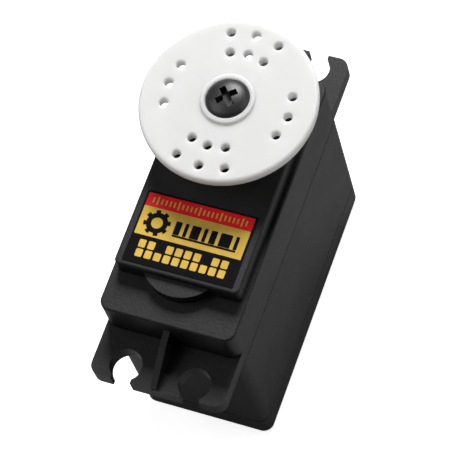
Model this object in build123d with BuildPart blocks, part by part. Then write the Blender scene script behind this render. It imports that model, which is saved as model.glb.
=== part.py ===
from build123d import *
import math
import os

# Standard-size servo motor with a round horn.
# Millimetres, +Z up along the output shaft. The origin is the point where the output axis meets
# the underside of the case; +X points to the case end beside the output shaft, -X to the motor end.

# ---------------------------------------------------------------- case
case_length = 40.6
case_width = 19.8
case_height = 37.8
output_to_end = 10.1
corner_radius = 1.55
wall = 1.2
floor_thickness = 1.4
bottom_split = 4.4
edge_fillet = 0.3
bottom_fillet = 0.5
seam_chamfer = 0.15
lip_height = 0.6
lip_thickness = 0.5
lip_gap = 0.08

# top of the case: a lower deck, a raised block and two round bosses
deck_drop = 2.8
deck_thickness = 1.2
block_setback = 5.9
block_front_setback = 1.3
block_ledge = 0.75
block_corner = 0.8
block_edge = 0.35
motor_boss_radius = 5.93
motor_boss_drop = 0.9
bearing_boss_wall = 1.4
bearing_boss_height = 0.8
bearing_lip = 0.5

# mounting ears, with slots open to their ends
ear_bottom = 26.3
ear_thickness = 2.5
ear_reach = 7.3
ear_corner = 1.6
slot_radius = 2.33
slot_from_end = 4.87
slot_spacing = 10.17
slot_mouth = 2.9
gusset_width = 0.9
gusset_front = 0.85
gusset_wall_height = 4.2
gusset_end_gap = 0.15

# gear tray, on top of the middle case
split_drop = 0.4
tray_thickness = 1.6
tray_gap = 0.1
bay_divider = 1.0
bay_divider_bottom = 8.0
bay_divider_gap = 0.2

# ---------------------------------------------------------------- gear train
motor_to_output = 21.0
final_module = 0.5
third_pinion_teeth = 13
output_teeth = 32
motor_teeth = 12
first_wheel_teeth = 45
first_pinion_teeth = 11
second_wheel_teeth = 46
second_pinion_teeth = 12
third_wheel_teeth = 42
pressure_angle = math.radians(25)
addendum = 0.8
dedendum = 1.05
tooth_thinning = 0.04
tray_clearance = 0.45
level_gap = 0.3
hub_gap = 0.1
first_wheel_thickness = 1.15
second_wheel_thickness = 1.3
third_wheel_thickness = 1.3
output_wheel_thickness = 2.1
axle_radius = 1.0
axle_gap = 0.03
axle_seat = 1.3
axle_post_radius = 2.2

# ---------------------------------------------------------------- output shaft and bearings
upper_bore = 6.0
upper_outside = 12.0
upper_width = 4.0
upper_balls = 8
upper_groove = 0.19
lower_bore = 5.0
lower_outside = 10.0
lower_width = 3.0
lower_balls = 8
lower_groove = 0.33
lower_seat = 1.0
lower_seat_gap = 0.3
race_thickness = 0.9
shield_thickness = 0.25
fit_gap = 0.02
shoulder_radius = 3.7
spline_teeth = 24
spline_radius = 2.88
spline_depth = 0.28
spline_length = 3.6
spline_neck = 0.3
spline_fit = 0.04

# ---------------------------------------------------------------- horn and its screw
horn_gap = 0.5
horn_radius = 12.49
horn_thickness = 1.5
horn_hub_radius = 4.6
horn_hub_height = 3.7
horn_rim = 0.45
horn_ring_wall = 0.7
horn_ring_height = 0.4
horn_ring_rim = 0.25
horn_hole_radius = 0.62
horn_hole_sink = 0.15
horn_angle = -2.8
horn_fan = (-20, 0, 20)
horn_inner_ring = 7.3
horn_outer_ring = 10.4
horn_cross_ring = 8.9
screw_radius = 1.48
screw_hole_gap = 0.1
screw_length = 8.8
head_radius = 3.05
head_height = 1.45
head_rim = 0.35
head_pocket_depth = 0.7
head_pocket_gap = 0.08
recess_span = 3.2
recess_width = 0.95
recess_depth = 1.2
recess_angle = 43

# ---------------------------------------------------------------- motor
can_radius = 7.8
can_length = 18.7
can_wall = 0.7
can_plate = 1.0
hub_radius = 3.0
hub_height = 1.4
bush_radius = 2.2
motor_shaft_radius = 1.0
magnet_thickness = 1.6
magnet_split = 6.0
magnet_length = 11.0
air_gap = 0.3
core_length = 9.0
core_hub = 2.0
poles = 3
pole_web = 1.8
pole_shoe = 0.95
pole_slot = 1.2
coil_width = 4.0
coil_overhang = 0.9
coil_inner = 2.2
coil_outer = 3.6
commutator_radius = 2.0
commutator_length = 1.8
commutator_slot = 0.2
end_cap_flange = 1.0
end_cap_plug = 0.9
brush_length = 1.5
terminal_offset = 4.5
terminal_width = 1.6
terminal_thickness = 0.5
motor_screw_offset = 4.9
motor_screw_radius = 0.95
motor_screw_head = 1.5
motor_screw_head_height = 0.6
motor_screw_sink = 0.75
motor_screw_recess = 0.4

# ---------------------------------------------------------------- position sensor
pot_radius = 5.4
pot_height = 6.5
pot_bushing_radius = 2.9
pot_bushing_height = 0.6
pot_shaft_radius = 1.5
pot_flat = 1.0
pot_shaft_reach = 7.9
pot_lead_radius = 0.35
pot_lead_offset = 3.6
pot_lead_spacing = 2.5

# ---------------------------------------------------------------- electronics
board_thickness = 1.0
board_height = 1.0
board_gap = 0.4
board_notch = 3.6
board_pad_radius = 1.2
board_pad_end = 6.0
board_pad_side = 2.7
chip_x = -4.8
chip_size = 6.0
chip_height = 1.1
chip_leads = 8
chip_lead_width = 0.3
chip_lead_reach = 0.8
bridge_x = 1.2
bridge_y = 6.1
bridge_length = 4.9
bridge_width = 3.9
bridge_height = 1.5
capacitor_x = -9.2
capacitor_y = 5.4
capacitor_radius = 2.5
capacitor_height = 7.0
crystal_length = 4.6
crystal_width = 1.9
crystal_height = 3.4
resistor_length = 1.6
resistor_width = 0.8
resistor_height = 0.5
resistor_pitch = 3.2
resistor_rows = 7.8

# ---------------------------------------------------------------- case screws, label, cable outlet
case_screw_inset = 2.3
case_screw_radius = 0.95
case_screw_clearance = 0.15
case_screw_head = 1.7
case_screw_head_height = 1.2
case_screw_sink = 0.3
case_screw_recess = 0.7
recess_slot = 0.5
case_screw_engagement = 7.0
case_post_radius = 1.75
label_length = 10.8
label_width = 16.2
label_setback = 0.7
label_thickness = 0.12
label_corner = 0.2
grommet_width = 6.4
grommet_height = 3.1
grommet_gap = 0.05
grommet_flange = 0.6
grommet_flange_thickness = 0.6
grommet_reach = 1.5
wire_hole_radius = 0.65
wire_spacing = 1.6

# ---------------------------------------------------------------- derived places
front_x = output_to_end
back_x = output_to_end - case_length
middle_x = (front_x + back_x) / 2
deck_height = case_height - deck_drop
bearing_boss_radius = upper_outside / 2 + bearing_boss_wall
ceiling = deck_height - deck_thickness
block_ceiling = case_height - deck_thickness
case_split = ear_bottom - split_drop
tray_top = ear_bottom
tray_bottom = tray_top - tray_thickness
boss_top = case_height + bearing_boss_height
motor_x = -motor_to_output
centre_x = -final_module * (third_pinion_teeth + output_teeth) / 2
centre_to_motor = centre_x - motor_x
first_module = 2 * centre_to_motor / (motor_teeth + first_wheel_teeth)
second_module = 2 * centre_to_motor / (first_pinion_teeth + second_wheel_teeth)
third_module = 2 * centre_to_motor / (second_pinion_teeth + third_wheel_teeth)
first_wheel_z = tray_top + tray_clearance
second_wheel_z = first_wheel_z + first_wheel_thickness + level_gap
third_wheel_z = second_wheel_z + second_wheel_thickness + level_gap
output_wheel_z = third_wheel_z + third_wheel_thickness + level_gap
output_wheel_top = output_wheel_z + output_wheel_thickness
upper_bearing_z = boss_top - bearing_lip - upper_width
lower_bearing_z = tray_top - lower_width
upper_ball_radius = (upper_outside - upper_bore) / 4 - race_thickness + upper_groove
lower_ball_radius = (lower_outside - lower_bore) / 4 - race_thickness + lower_groove
lower_boss_z = lower_bearing_z - lower_seat
pot_z = lower_boss_z - pot_height
horn_hub_z = boss_top + horn_gap
horn_disc_z = horn_hub_z + horn_hub_height
horn_top = horn_disc_z + horn_thickness
ring_top = horn_top + horn_ring_height
head_seat = ring_top - head_pocket_depth
head_pocket_radius = head_radius + head_pocket_gap
spline_z = horn_hub_z - spline_neck
spline_top = spline_z + spline_length
can_bottom = tray_bottom - can_length
board_z = floor_thickness + board_height
board_top = board_z + board_thickness
screw_places = [
    (x, side * (case_width / 2 - case_screw_inset))
    for x in (back_x + case_screw_inset, front_x - case_screw_inset)
    for side in (-1, 1)
]

os.makedirs("parts", exist_ok=True)


# ---------------------------------------------------------------- shared profiles and pieces
def involute(angle):
    return math.tan(angle) - angle


def polar(radius, angle):
    return (radius * math.cos(angle), radius * math.sin(angle))


def gear_face(teeth, module, phase):
    """Face of a spur gear with involute flanks; one tooth is centred on phase, in degrees."""
    pitch_radius = module * teeth / 2
    base_radius = pitch_radius * math.cos(pressure_angle)
    tip_radius = pitch_radius + addendum * module
    root_radius = pitch_radius - dedendum * module
    flank_radius = max(base_radius, root_radius)
    middle_radius = (flank_radius + tip_radius) / 2
    tooth_pitch = 2 * math.pi / teeth

    def half_angle(radius):
        at_pitch = tooth_pitch / 4 - tooth_thinning / pitch_radius
        return at_pitch + involute(pressure_angle) - involute(math.acos(base_radius / radius))

    with BuildSketch() as face:
        with BuildLine():
            for tooth in range(teeth):
                centre = math.radians(phase) + tooth * tooth_pitch
                foot = half_angle(flank_radius)
                flank = half_angle(middle_radius)
                tip = half_angle(tip_radius)
                if base_radius > root_radius:
                    Line(polar(root_radius, centre - foot), polar(base_radius, centre - foot))
                    Line(polar(base_radius, centre + foot), polar(root_radius, centre + foot))
                ThreePointArc(
                    polar(flank_radius, centre - foot),
                    polar(middle_radius, centre - flank),
                    polar(tip_radius, centre - tip),
                )
                ThreePointArc(
                    polar(tip_radius, centre - tip),
                    polar(tip_radius, centre),
                    polar(tip_radius, centre + tip),
                )
                ThreePointArc(
                    polar(tip_radius, centre + tip),
                    polar(middle_radius, centre + flank),
                    polar(flank_radius, centre + foot),
                )
                ThreePointArc(
                    polar(root_radius, centre + foot),
                    polar(root_radius, centre + tooth_pitch / 2),
                    polar(root_radius, centre + tooth_pitch - foot),
                )
        make_face()
    return face.sketch


def spline_face(grow):
    """Face of the output shaft's serrated end, grown outward by a clearance."""
    outer = spline_radius + grow
    inner = spline_radius - spline_depth + grow
    points = [
        polar(outer if step % 2 == 0 else inner, math.pi * step / spline_teeth)
        for step in range(2 * spline_teeth)
    ]
    with BuildSketch() as face:
        with BuildLine():
            Polyline(*points, close=True)
        make_face()
    return face.sketch


def ball_bearing(bottom, bore, outside, width, ball_radius, balls):
    """Outer race, inner race and ring of balls of one bearing on the output axis."""
    inner_radius = bore / 2
    outer_radius = outside / 2 - fit_gap
    track_radius = (bore / 2 + outside / 2) / 2
    middle_z = bottom + width / 2
    with BuildPart() as outer_race:
        with BuildSketch(Plane.XY.offset(bottom)):
            Circle(outer_radius)
            Circle(outer_radius - race_thickness, mode=Mode.SUBTRACT)
        extrude(amount=width)
        with Locations((0, 0, middle_z)):
            Torus(track_radius, ball_radius + fit_gap, mode=Mode.SUBTRACT)
    with BuildPart() as inner_race:
        with BuildSketch(Plane.XY.offset(bottom)):
            Circle(inner_radius + race_thickness)
            Circle(inner_radius, mode=Mode.SUBTRACT)
        extrude(amount=width)
        with Locations((0, 0, middle_z)):
            Torus(track_radius, ball_radius + fit_gap, mode=Mode.SUBTRACT)
    with BuildPart() as ball_ring:
        with Locations((0, 0, middle_z)):
            with PolarLocations(track_radius, balls):
                Sphere(ball_radius)
    return outer_race, inner_race, ball_ring


# ---------------------------------------------------------------- bottom case
with BuildPart() as bottom_case:
    with BuildSketch():
        with Locations((middle_x, 0)):
            RectangleRounded(case_length, case_width, corner_radius)
    extrude(amount=bottom_split)
    fillet(bottom_case.faces().sort_by(Axis.Z)[0].edges(), bottom_fillet)
    chamfer(bottom_case.faces().sort_by(Axis.Z)[-1].edges(), seam_chamfer)
    with BuildSketch(Plane.XY.offset(floor_thickness)):
        with Locations((middle_x, 0)):
            RectangleRounded(case_length - 2 * wall, case_width - 2 * wall, corner_radius / 2)
    extrude(amount=bottom_split, mode=Mode.SUBTRACT)
    # a thin lip that nests inside the middle case, open at the cable outlet
    lip_inset = wall + lip_gap
    lip_inner = lip_inset + lip_thickness
    for lip_z, outer_inset in ((bottom_split - lip_height, wall), (bottom_split, lip_inset)):
        with BuildSketch(Plane.XY.offset(lip_z)):
            with Locations((middle_x, 0)):
                RectangleRounded(
                    case_length - 2 * outer_inset, case_width - 2 * outer_inset, corner_radius / 2
                )
                RectangleRounded(
                    case_length - 2 * lip_inner,
                    case_width - 2 * lip_inner,
                    corner_radius / 4,
                    mode=Mode.SUBTRACT,
                )
        extrude(amount=lip_height)
    with BuildSketch(Plane.XY.offset(bottom_split)):
        with Locations((front_x - wall, 0)):
            Rectangle(2 * wall, grommet_width + 2 * grommet_flange + 2 * tray_gap)
    extrude(amount=lip_height, mode=Mode.SUBTRACT)
    # screw posts, and four pads that carry the board
    with BuildSketch(Plane.XY.offset(floor_thickness)):
        with Locations(*screw_places):
            Circle(case_post_radius)
    extrude(amount=bottom_split - floor_thickness)
    with BuildSketch(Plane.XY.offset(floor_thickness)):
        with Locations((middle_x, 0)):
            with GridLocations(case_length - 2 * board_pad_end, case_width - 2 * board_pad_side, 2, 2):
                Circle(board_pad_radius)
    extrude(amount=board_height)
    with BuildSketch():
        with Locations(*screw_places):
            Circle(case_screw_radius + case_screw_clearance)
    extrude(amount=bottom_split + lip_height, mode=Mode.SUBTRACT)
    with BuildSketch():
        with Locations(*screw_places):
            Circle(case_screw_head + lip_gap)
    extrude(amount=case_screw_sink + case_screw_head_height, mode=Mode.SUBTRACT)

bottom_case.part.label = "bottom_case"
export_step(bottom_case.part, "parts/bottom_case.step")

# ---------------------------------------------------------------- middle case, with the gear tray
with BuildPart() as middle_case:
    with BuildSketch(Plane.XY.offset(bottom_split)):
        with Locations((middle_x, 0)):
            RectangleRounded(case_length, case_width, corner_radius)
    extrude(amount=case_split - bottom_split)
    chamfer(middle_case.faces().sort_by(Axis.Z)[0].edges(), seam_chamfer)
    chamfer(middle_case.faces().sort_by(Axis.Z)[-1].edges(), seam_chamfer)
    with BuildSketch(Plane.XY.offset(bottom_split)):
        with Locations((middle_x, 0)):
            RectangleRounded(case_length - 2 * wall, case_width - 2 * wall, corner_radius / 2)
    extrude(amount=tray_bottom - bottom_split, mode=Mode.SUBTRACT)
    # the tray stands a little above the wall and locates the top case
    with BuildSketch(Plane.XY.offset(tray_bottom)):
        with Locations((middle_x, 0)):
            RectangleRounded(
                case_length - 2 * (wall + tray_gap), case_width - 2 * (wall + tray_gap), corner_radius / 2
            )
    extrude(amount=tray_thickness)
    # posts for the case screws, the wall between the two bays, and the lower bearing's pocket
    with BuildSketch(Plane.XY.offset(bottom_split + lip_height + lip_gap)):
        with Locations(*screw_places):
            Circle(case_post_radius)
    extrude(until=Until.NEXT)
    with BuildSketch(Plane.XY.offset(bay_divider_bottom)):
        with Locations((motor_x + can_radius + bay_divider_gap + bay_divider / 2, 0)):
            Rectangle(bay_divider, case_width - 2 * wall)
    extrude(amount=tray_bottom - bay_divider_bottom)
    with BuildSketch(Plane.XY.offset(lower_boss_z)):
        Circle(lower_outside / 2 + wall)
    extrude(amount=tray_bottom - lower_boss_z)
    with BuildSketch(Plane.XY.offset(lower_bearing_z)):
        Circle(lower_outside / 2)
    extrude(amount=lower_width, mode=Mode.SUBTRACT)
    with BuildSketch(Plane.XY.offset(lower_boss_z)):
        Circle(lower_bore / 2 + race_thickness + lower_seat_gap)
    extrude(amount=lower_seat, mode=Mode.SUBTRACT)
    # holes in the tray: motor hub, motor screws, centre axle and case screws
    with BuildSketch(Plane.XY.offset(tray_bottom)):
        with Locations((motor_x, 0)):
            Circle(hub_radius + axle_gap)
        with Locations((motor_x, motor_screw_offset), (motor_x, -motor_screw_offset)):
            Circle(motor_screw_radius + axle_gap)
    extrude(amount=tray_thickness, mode=Mode.SUBTRACT)
    with BuildSketch(Plane.XY.offset(tray_top - motor_screw_sink)):
        with Locations((motor_x, motor_screw_offset), (motor_x, -motor_screw_offset)):
            Circle(motor_screw_head + axle_gap)
    extrude(amount=motor_screw_sink, mode=Mode.SUBTRACT)
    with BuildSketch(Plane.XY.offset(tray_top - axle_seat)):
        with Locations((centre_x, 0)):
            Circle(axle_radius)
    extrude(amount=axle_seat, mode=Mode.SUBTRACT)
    with BuildSketch(Plane.XY.offset(bottom_split)):
        with Locations(*screw_places):
            Circle(case_screw_radius + case_screw_clearance)
    extrude(amount=tray_top - bottom_split, mode=Mode.SUBTRACT)
    # cable outlet: a notch in the end wall, closed below by the bottom case
    with BuildSketch(Plane.XY.offset(bottom_split)):
        with Locations((front_x - wall / 2, 0)):
            Rectangle(2 * wall, grommet_width)
    extrude(amount=grommet_height, mode=Mode.SUBTRACT)

middle_case.part.label = "middle_case"
export_step(middle_case.part, "parts/middle_case.step")

# ---------------------------------------------------------------- top case, with the mounting ears
block_back = back_x + block_setback
block_front = front_x - block_front_setback
block_length = block_front - block_back
block_centre = (block_front + block_back) / 2
block_width = case_width - 2 * block_ledge

with BuildPart() as top_case:
    with BuildSketch(Plane.XY.offset(case_split)):
        with Locations((middle_x, 0)):
            RectangleRounded(case_length, case_width, corner_radius)
    extrude(amount=deck_height - case_split)
    fillet(top_case.faces().sort_by(Axis.Z)[-1].edges(), edge_fillet)
    chamfer(top_case.faces().sort_by(Axis.Z)[0].edges(), seam_chamfer)
    # round boss over the motor axis, then the raised block
    with BuildSketch(Plane.XY.offset(deck_height - edge_fillet)):
        with Locations((motor_x, 0)):
            Circle(motor_boss_radius)
    extrude(amount=deck_drop - motor_boss_drop + edge_fillet)
    with BuildSketch(Plane.XY.offset(deck_height - edge_fillet)):
        with Locations((block_centre, 0)):
            RectangleRounded(block_length, block_width, block_corner)
    extrude(amount=deck_drop + edge_fillet)
    fillet(top_case.faces().sort_by(Axis.Z)[-1].edges(), block_edge)
    with BuildSketch(Plane.XY.offset(case_height - bearing_lip)):
        Circle(bearing_boss_radius)
    extrude(amount=bearing_boss_height + bearing_lip)
    fillet(top_case.faces().sort_by(Axis.Z)[-1].edges(), edge_fillet)
    # ears
    with BuildSketch(Plane.XY.offset(ear_bottom)) as ear_sketch:
        with Locations((middle_x, 0)):
            Rectangle(case_length + 2 * ear_reach, case_width)
        fillet(ear_sketch.vertices(), ear_corner)
    extrude(amount=ear_thickness)
    # gussets between the slots of each ear
    for end, direction in ((back_x, -1), (front_x, 1)):
        with BuildSketch(Plane.XZ.offset(-gusset_width / 2)):
            with BuildLine():
                Polyline(
                    (end - direction * wall / 2, ear_bottom + ear_thickness / 2),
                    (end - direction * wall / 2, ear_bottom + ear_thickness + gusset_wall_height),
                    (end, ear_bottom + ear_thickness + gusset_wall_height),
                    (
                        end + direction * (ear_reach - gusset_end_gap),
                        ear_bottom + ear_thickness + gusset_front,
                    ),
                    (end + direction * (ear_reach - gusset_end_gap), ear_bottom + ear_thickness / 2),
                    close=True,
                )
            make_face()
        extrude(amount=gusset_width)
    # cavity for the gears, and the shallower one inside the raised block
    with BuildSketch(Plane.XY.offset(case_split)):
        with Locations((middle_x, 0)):
            RectangleRounded(case_length - 2 * wall, case_width - 2 * wall, corner_radius / 2)
    extrude(amount=ceiling - case_split, mode=Mode.SUBTRACT)
    pocket_back = block_back + wall
    pocket_front = -bearing_boss_radius
    with BuildSketch(Plane.XY.offset(ceiling)):
        with Locations(((pocket_back + pocket_front) / 2, 0)):
            Rectangle(pocket_front - pocket_back, block_width - 2 * wall)
    extrude(amount=block_ceiling - ceiling, mode=Mode.SUBTRACT)
    # posts for the case screws and for the upper ends of the two axles
    with BuildSketch(Plane.XY.offset(tray_top + fit_gap)):
        with Locations(*screw_places):
            Circle(case_post_radius)
    extrude(amount=ceiling - tray_top - fit_gap)
    with BuildSketch(Plane.XY.offset(output_wheel_top + level_gap)):
        with Locations((centre_x, 0)):
            Circle(axle_post_radius)
    extrude(amount=block_ceiling - output_wheel_top - level_gap)
    with BuildSketch(Plane.XY.offset(output_wheel_z + level_gap)):
        with Locations((motor_x, 0)):
            Circle(axle_post_radius)
    extrude(amount=block_ceiling - output_wheel_z - level_gap)
    # seats drilled in the posts, the bearing's pocket and lip, and the tapped screw holes
    with BuildSketch(Plane.XY.offset(case_split)):
        with Locations((centre_x, 0), (motor_x, 0)):
            Circle(axle_radius)
    extrude(amount=deck_height + axle_seat / 2 - case_split, mode=Mode.SUBTRACT)
    with BuildSketch(Plane.XY.offset(ceiling)):
        Circle(upper_outside / 2)
    extrude(amount=upper_bearing_z + upper_width - ceiling, mode=Mode.SUBTRACT)
    with BuildSketch(Plane.XY.offset(upper_bearing_z + upper_width)):
        Circle(upper_outside / 2 - race_thickness)
    extrude(amount=bearing_lip, mode=Mode.SUBTRACT)
    with BuildSketch(Plane.XY.offset(case_split)):
        with Locations(*screw_places):
            Circle(case_screw_radius + fit_gap)
    extrude(amount=case_screw_engagement + 2 * fit_gap, mode=Mode.SUBTRACT)
    # mounting slots, open to the ends of the ears
    with BuildSketch(Plane.XY.offset(ear_bottom)):
        for end, direction in ((back_x, -1), (front_x, 1)):
            slot_x = end + direction * slot_from_end
            mouth = ear_reach - slot_from_end
            with Locations((slot_x, slot_spacing / 2), (slot_x, -slot_spacing / 2)):
                Circle(slot_radius)
            mouth_x = slot_x + direction * mouth / 2
            with Locations((mouth_x, slot_spacing / 2), (mouth_x, -slot_spacing / 2)):
                Rectangle(mouth, slot_mouth)
    extrude(amount=ear_thickness, mode=Mode.SUBTRACT)

top_case.part.label = "top_case"
export_step(top_case.part, "parts/top_case.step")

# ---------------------------------------------------------------- case screws
with BuildPart() as case_screws:
    with BuildSketch(Plane.XY.offset(case_screw_sink)):
        with Locations(*screw_places):
            Circle(case_screw_head)
    extrude(amount=case_screw_head_height)
    fillet(case_screws.faces().group_by(Axis.Z)[0].edges(), edge_fillet)
    with BuildSketch(Plane.XY.offset(case_screw_sink)):
        with Locations(*screw_places):
            Circle(case_screw_radius)
    extrude(amount=case_split + case_screw_engagement - case_screw_sink)
    with BuildSketch(Plane.XY.offset(case_screw_sink)):
        with Locations(*screw_places):
            Rectangle(case_screw_head, recess_slot)
            Rectangle(recess_slot, case_screw_head)
    extrude(amount=case_screw_recess, mode=Mode.SUBTRACT)

case_screws.part.label = "case_screws"
export_step(case_screws.part, "parts/case_screws.step")

# ---------------------------------------------------------------- label
with BuildPart() as label:
    with BuildSketch(Plane.XY.offset(case_height)):
        with Locations((block_back + label_setback + label_length / 2, 0)):
            RectangleRounded(label_length, label_width, label_corner)
    extrude(amount=label_thickness)

label.part.label = "label"
export_step(label.part, "parts/label.step")

# ---------------------------------------------------------------- output gear with its splined shaft
with BuildPart() as output_gear:
    with BuildSketch(Plane.XY.offset(output_wheel_z)):
        add(gear_face(output_teeth, final_module, 180 + 180 / output_teeth))
    extrude(amount=output_wheel_thickness)
    with BuildSketch(Plane.XY.offset(lower_bearing_z - 2 * hub_gap)):
        Circle(lower_bore / 2 - fit_gap)
    extrude(amount=output_wheel_z - lower_bearing_z + 2 * hub_gap)
    with BuildSketch(Plane.XY.offset(tray_top)):
        Circle(upper_bore / 2 - fit_gap)
    extrude(amount=upper_bearing_z + upper_width + hub_gap - tray_top)
    with BuildSketch(Plane.XY.offset(output_wheel_top)):
        Circle(shoulder_radius)
    extrude(amount=upper_bearing_z - output_wheel_top)
    with BuildSketch(Plane.XY.offset(upper_bearing_z + upper_width)):
        Circle(spline_radius - spline_depth)
    extrude(amount=spline_top - upper_bearing_z - upper_width)
    with BuildSketch(Plane.XY.offset(spline_z)):
        add(spline_face(0))
    extrude(amount=spline_length)
    # screw hole from above, flat-sided socket for the sensor's shaft from below
    with BuildSketch(Plane.XY.offset(head_seat - screw_length - level_gap)):
        Circle(screw_radius + fit_gap)
    extrude(amount=screw_length, mode=Mode.SUBTRACT)
    with BuildSketch(Plane.XY.offset(lower_bearing_z - 2 * hub_gap)) as socket:
        Circle(pot_shaft_radius + axle_gap)
        with Locations((pot_flat + axle_gap + pot_shaft_radius, 0)):
            Rectangle(2 * pot_shaft_radius, 3 * pot_shaft_radius, mode=Mode.SUBTRACT)
    extrude(amount=pot_shaft_reach, mode=Mode.SUBTRACT)

output_gear.part.label = "output_gear"
export_step(output_gear.part, "parts/output_gear.step")

# ---------------------------------------------------------------- output bearings
upper_outer_race, upper_inner_race, upper_ball_ring = ball_bearing(
    upper_bearing_z, upper_bore, upper_outside, upper_width, upper_ball_radius, upper_balls
)
lower_outer_race, lower_inner_race, lower_ball_ring = ball_bearing(
    lower_bearing_z, lower_bore, lower_outside, lower_width, lower_ball_radius, lower_balls
)

upper_outer_race.part.label = "upper_bearing_outer_race"
export_step(upper_outer_race.part, "parts/upper_bearing_outer_race.step")
upper_inner_race.part.label = "upper_bearing_inner_race"
export_step(upper_inner_race.part, "parts/upper_bearing_inner_race.step")
upper_ball_ring.part.label = "upper_bearing_balls"
export_step(upper_ball_ring.part, "parts/upper_bearing_balls.step")
lower_outer_race.part.label = "lower_bearing_outer_race"
export_step(lower_outer_race.part, "parts/lower_bearing_outer_race.step")
lower_inner_race.part.label = "lower_bearing_inner_race"
export_step(lower_inner_race.part, "parts/lower_bearing_inner_race.step")
lower_ball_ring.part.label = "lower_bearing_balls"
export_step(lower_ball_ring.part, "parts/lower_bearing_balls.step")

# two pressed shields that close the upper bearing
with BuildPart() as upper_shields:
    for shield_z in (upper_bearing_z + hub_gap, upper_bearing_z + upper_width - hub_gap - shield_thickness):
        with BuildSketch(Plane.XY.offset(shield_z)):
            Circle(upper_outside / 2 - fit_gap - race_thickness)
            Circle(upper_bore / 2 + race_thickness + hub_gap, mode=Mode.SUBTRACT)
        extrude(amount=shield_thickness)

upper_shields.part.label = "upper_bearing_shields"
export_step(upper_shields.part, "parts/upper_bearing_shields.step")

# ---------------------------------------------------------------- intermediate gears
with BuildPart() as first_gear_wheel:
    with BuildSketch(Plane.XY.offset(first_wheel_z)):
        with Locations((centre_x, 0)):
            add(gear_face(first_wheel_teeth, first_module, 180 + 180 / first_wheel_teeth))
            Circle(axle_radius + 2 * axle_gap + lip_thickness, mode=Mode.SUBTRACT)
    extrude(amount=first_wheel_thickness)

first_gear_wheel.part.label = "first_gear_wheel"
export_step(first_gear_wheel.part, "parts/first_gear_wheel.step")

with BuildPart() as first_gear_pinion:
    with BuildSketch(Plane.XY.offset(first_wheel_z)):
        with Locations((centre_x, 0)):
            Circle(axle_radius + 2 * axle_gap + lip_thickness)
            Circle(axle_radius + axle_gap, mode=Mode.SUBTRACT)
    extrude(amount=first_wheel_thickness)
    with BuildSketch(Plane.XY.offset(first_wheel_z + first_wheel_thickness)):
        with Locations((centre_x, 0)):
            add(gear_face(first_pinion_teeth, second_module, 180))
            Circle(axle_radius + axle_gap, mode=Mode.SUBTRACT)
    extrude(amount=third_wheel_z - hub_gap - first_wheel_z - first_wheel_thickness)

first_gear_pinion.part.label = "first_gear_pinion"
export_step(first_gear_pinion.part, "parts/first_gear_pinion.step")

with BuildPart() as second_gear:
    with BuildSketch(Plane.XY.offset(second_wheel_z)):
        with Locations((motor_x, 0)):
            add(gear_face(second_wheel_teeth, second_module, 180 / second_wheel_teeth))
    extrude(amount=second_wheel_thickness)
    with BuildSketch(Plane.XY.offset(second_wheel_z + second_wheel_thickness)):
        with Locations((motor_x, 0)):
            add(gear_face(second_pinion_teeth, third_module, 0))
    extrude(amount=output_wheel_z + hub_gap - second_wheel_z - second_wheel_thickness)
    with BuildSketch(Plane.XY.offset(second_wheel_z)):
        with Locations((motor_x, 0)):
            Circle(axle_radius + axle_gap)
    extrude(amount=output_wheel_z + hub_gap - second_wheel_z, mode=Mode.SUBTRACT)

second_gear.part.label = "second_gear"
export_step(second_gear.part, "parts/second_gear.step")

with BuildPart() as third_gear:
    with BuildSketch(Plane.XY.offset(third_wheel_z)):
        with Locations((centre_x, 0)):
            add(gear_face(third_wheel_teeth, third_module, 180 + 180 / third_wheel_teeth))
    extrude(amount=third_wheel_thickness)
    with BuildSketch(Plane.XY.offset(third_wheel_z + third_wheel_thickness)):
        with Locations((centre_x, 0)):
            add(gear_face(third_pinion_teeth, final_module, 0))
    extrude(amount=output_wheel_top + hub_gap - third_wheel_z - third_wheel_thickness)
    with BuildSketch(Plane.XY.offset(third_wheel_z)):
        with Locations((centre_x, 0)):
            Circle(axle_radius + axle_gap)
    extrude(amount=output_wheel_top + hub_gap - third_wheel_z, mode=Mode.SUBTRACT)

third_gear.part.label = "third_gear"
export_step(third_gear.part, "parts/third_gear.step")

# ---------------------------------------------------------------- axles of the intermediate gears
axle_top = deck_height + axle_seat / 2

with BuildPart() as centre_axle:
    with BuildSketch(Plane.XY.offset(tray_top - axle_seat)):
        with Locations((centre_x, 0)):
            Circle(axle_radius)
    extrude(amount=axle_top - tray_top + axle_seat)

centre_axle.part.label = "centre_axle"
export_step(centre_axle.part, "parts/centre_axle.step")

with BuildPart() as second_gear_axle:
    with BuildSketch(Plane.XY.offset(second_wheel_z + fit_gap)):
        with Locations((motor_x, 0)):
            Circle(axle_radius)
    extrude(amount=axle_top - second_wheel_z - fit_gap)

second_gear_axle.part.label = "second_gear_axle"
export_step(second_gear_axle.part, "parts/second_gear_axle.step")

# ---------------------------------------------------------------- motor housing
can_inner = can_radius - can_wall

with BuildPart() as motor_can:
    with BuildSketch(Plane.XY.offset(can_bottom)):
        with Locations((motor_x, 0)):
            Circle(can_radius)
    extrude(amount=can_length)
    fillet(motor_can.faces().sort_by(Axis.Z)[-1].edges(), edge_fillet)
    with BuildSketch(Plane.XY.offset(can_bottom)):
        with Locations((motor_x, 0)):
            Circle(can_inner)
    extrude(amount=can_length - can_plate, mode=Mode.SUBTRACT)
    with BuildSketch(Plane.XY.offset(tray_bottom - can_plate)):
        with Locations((motor_x, 0)):
            Circle(hub_radius)
    extrude(amount=hub_height + can_plate)
    with BuildSketch(Plane.XY.offset(tray_bottom - can_plate)):
        with Locations((motor_x, 0)):
            Circle(bush_radius)
        with Locations((motor_x, motor_screw_offset), (motor_x, -motor_screw_offset)):
            Circle(motor_screw_radius + fit_gap)
    extrude(amount=hub_height + can_plate, mode=Mode.SUBTRACT)

motor_can.part.label = "motor_can"
export_step(motor_can.part, "parts/motor_can.step")

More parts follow.
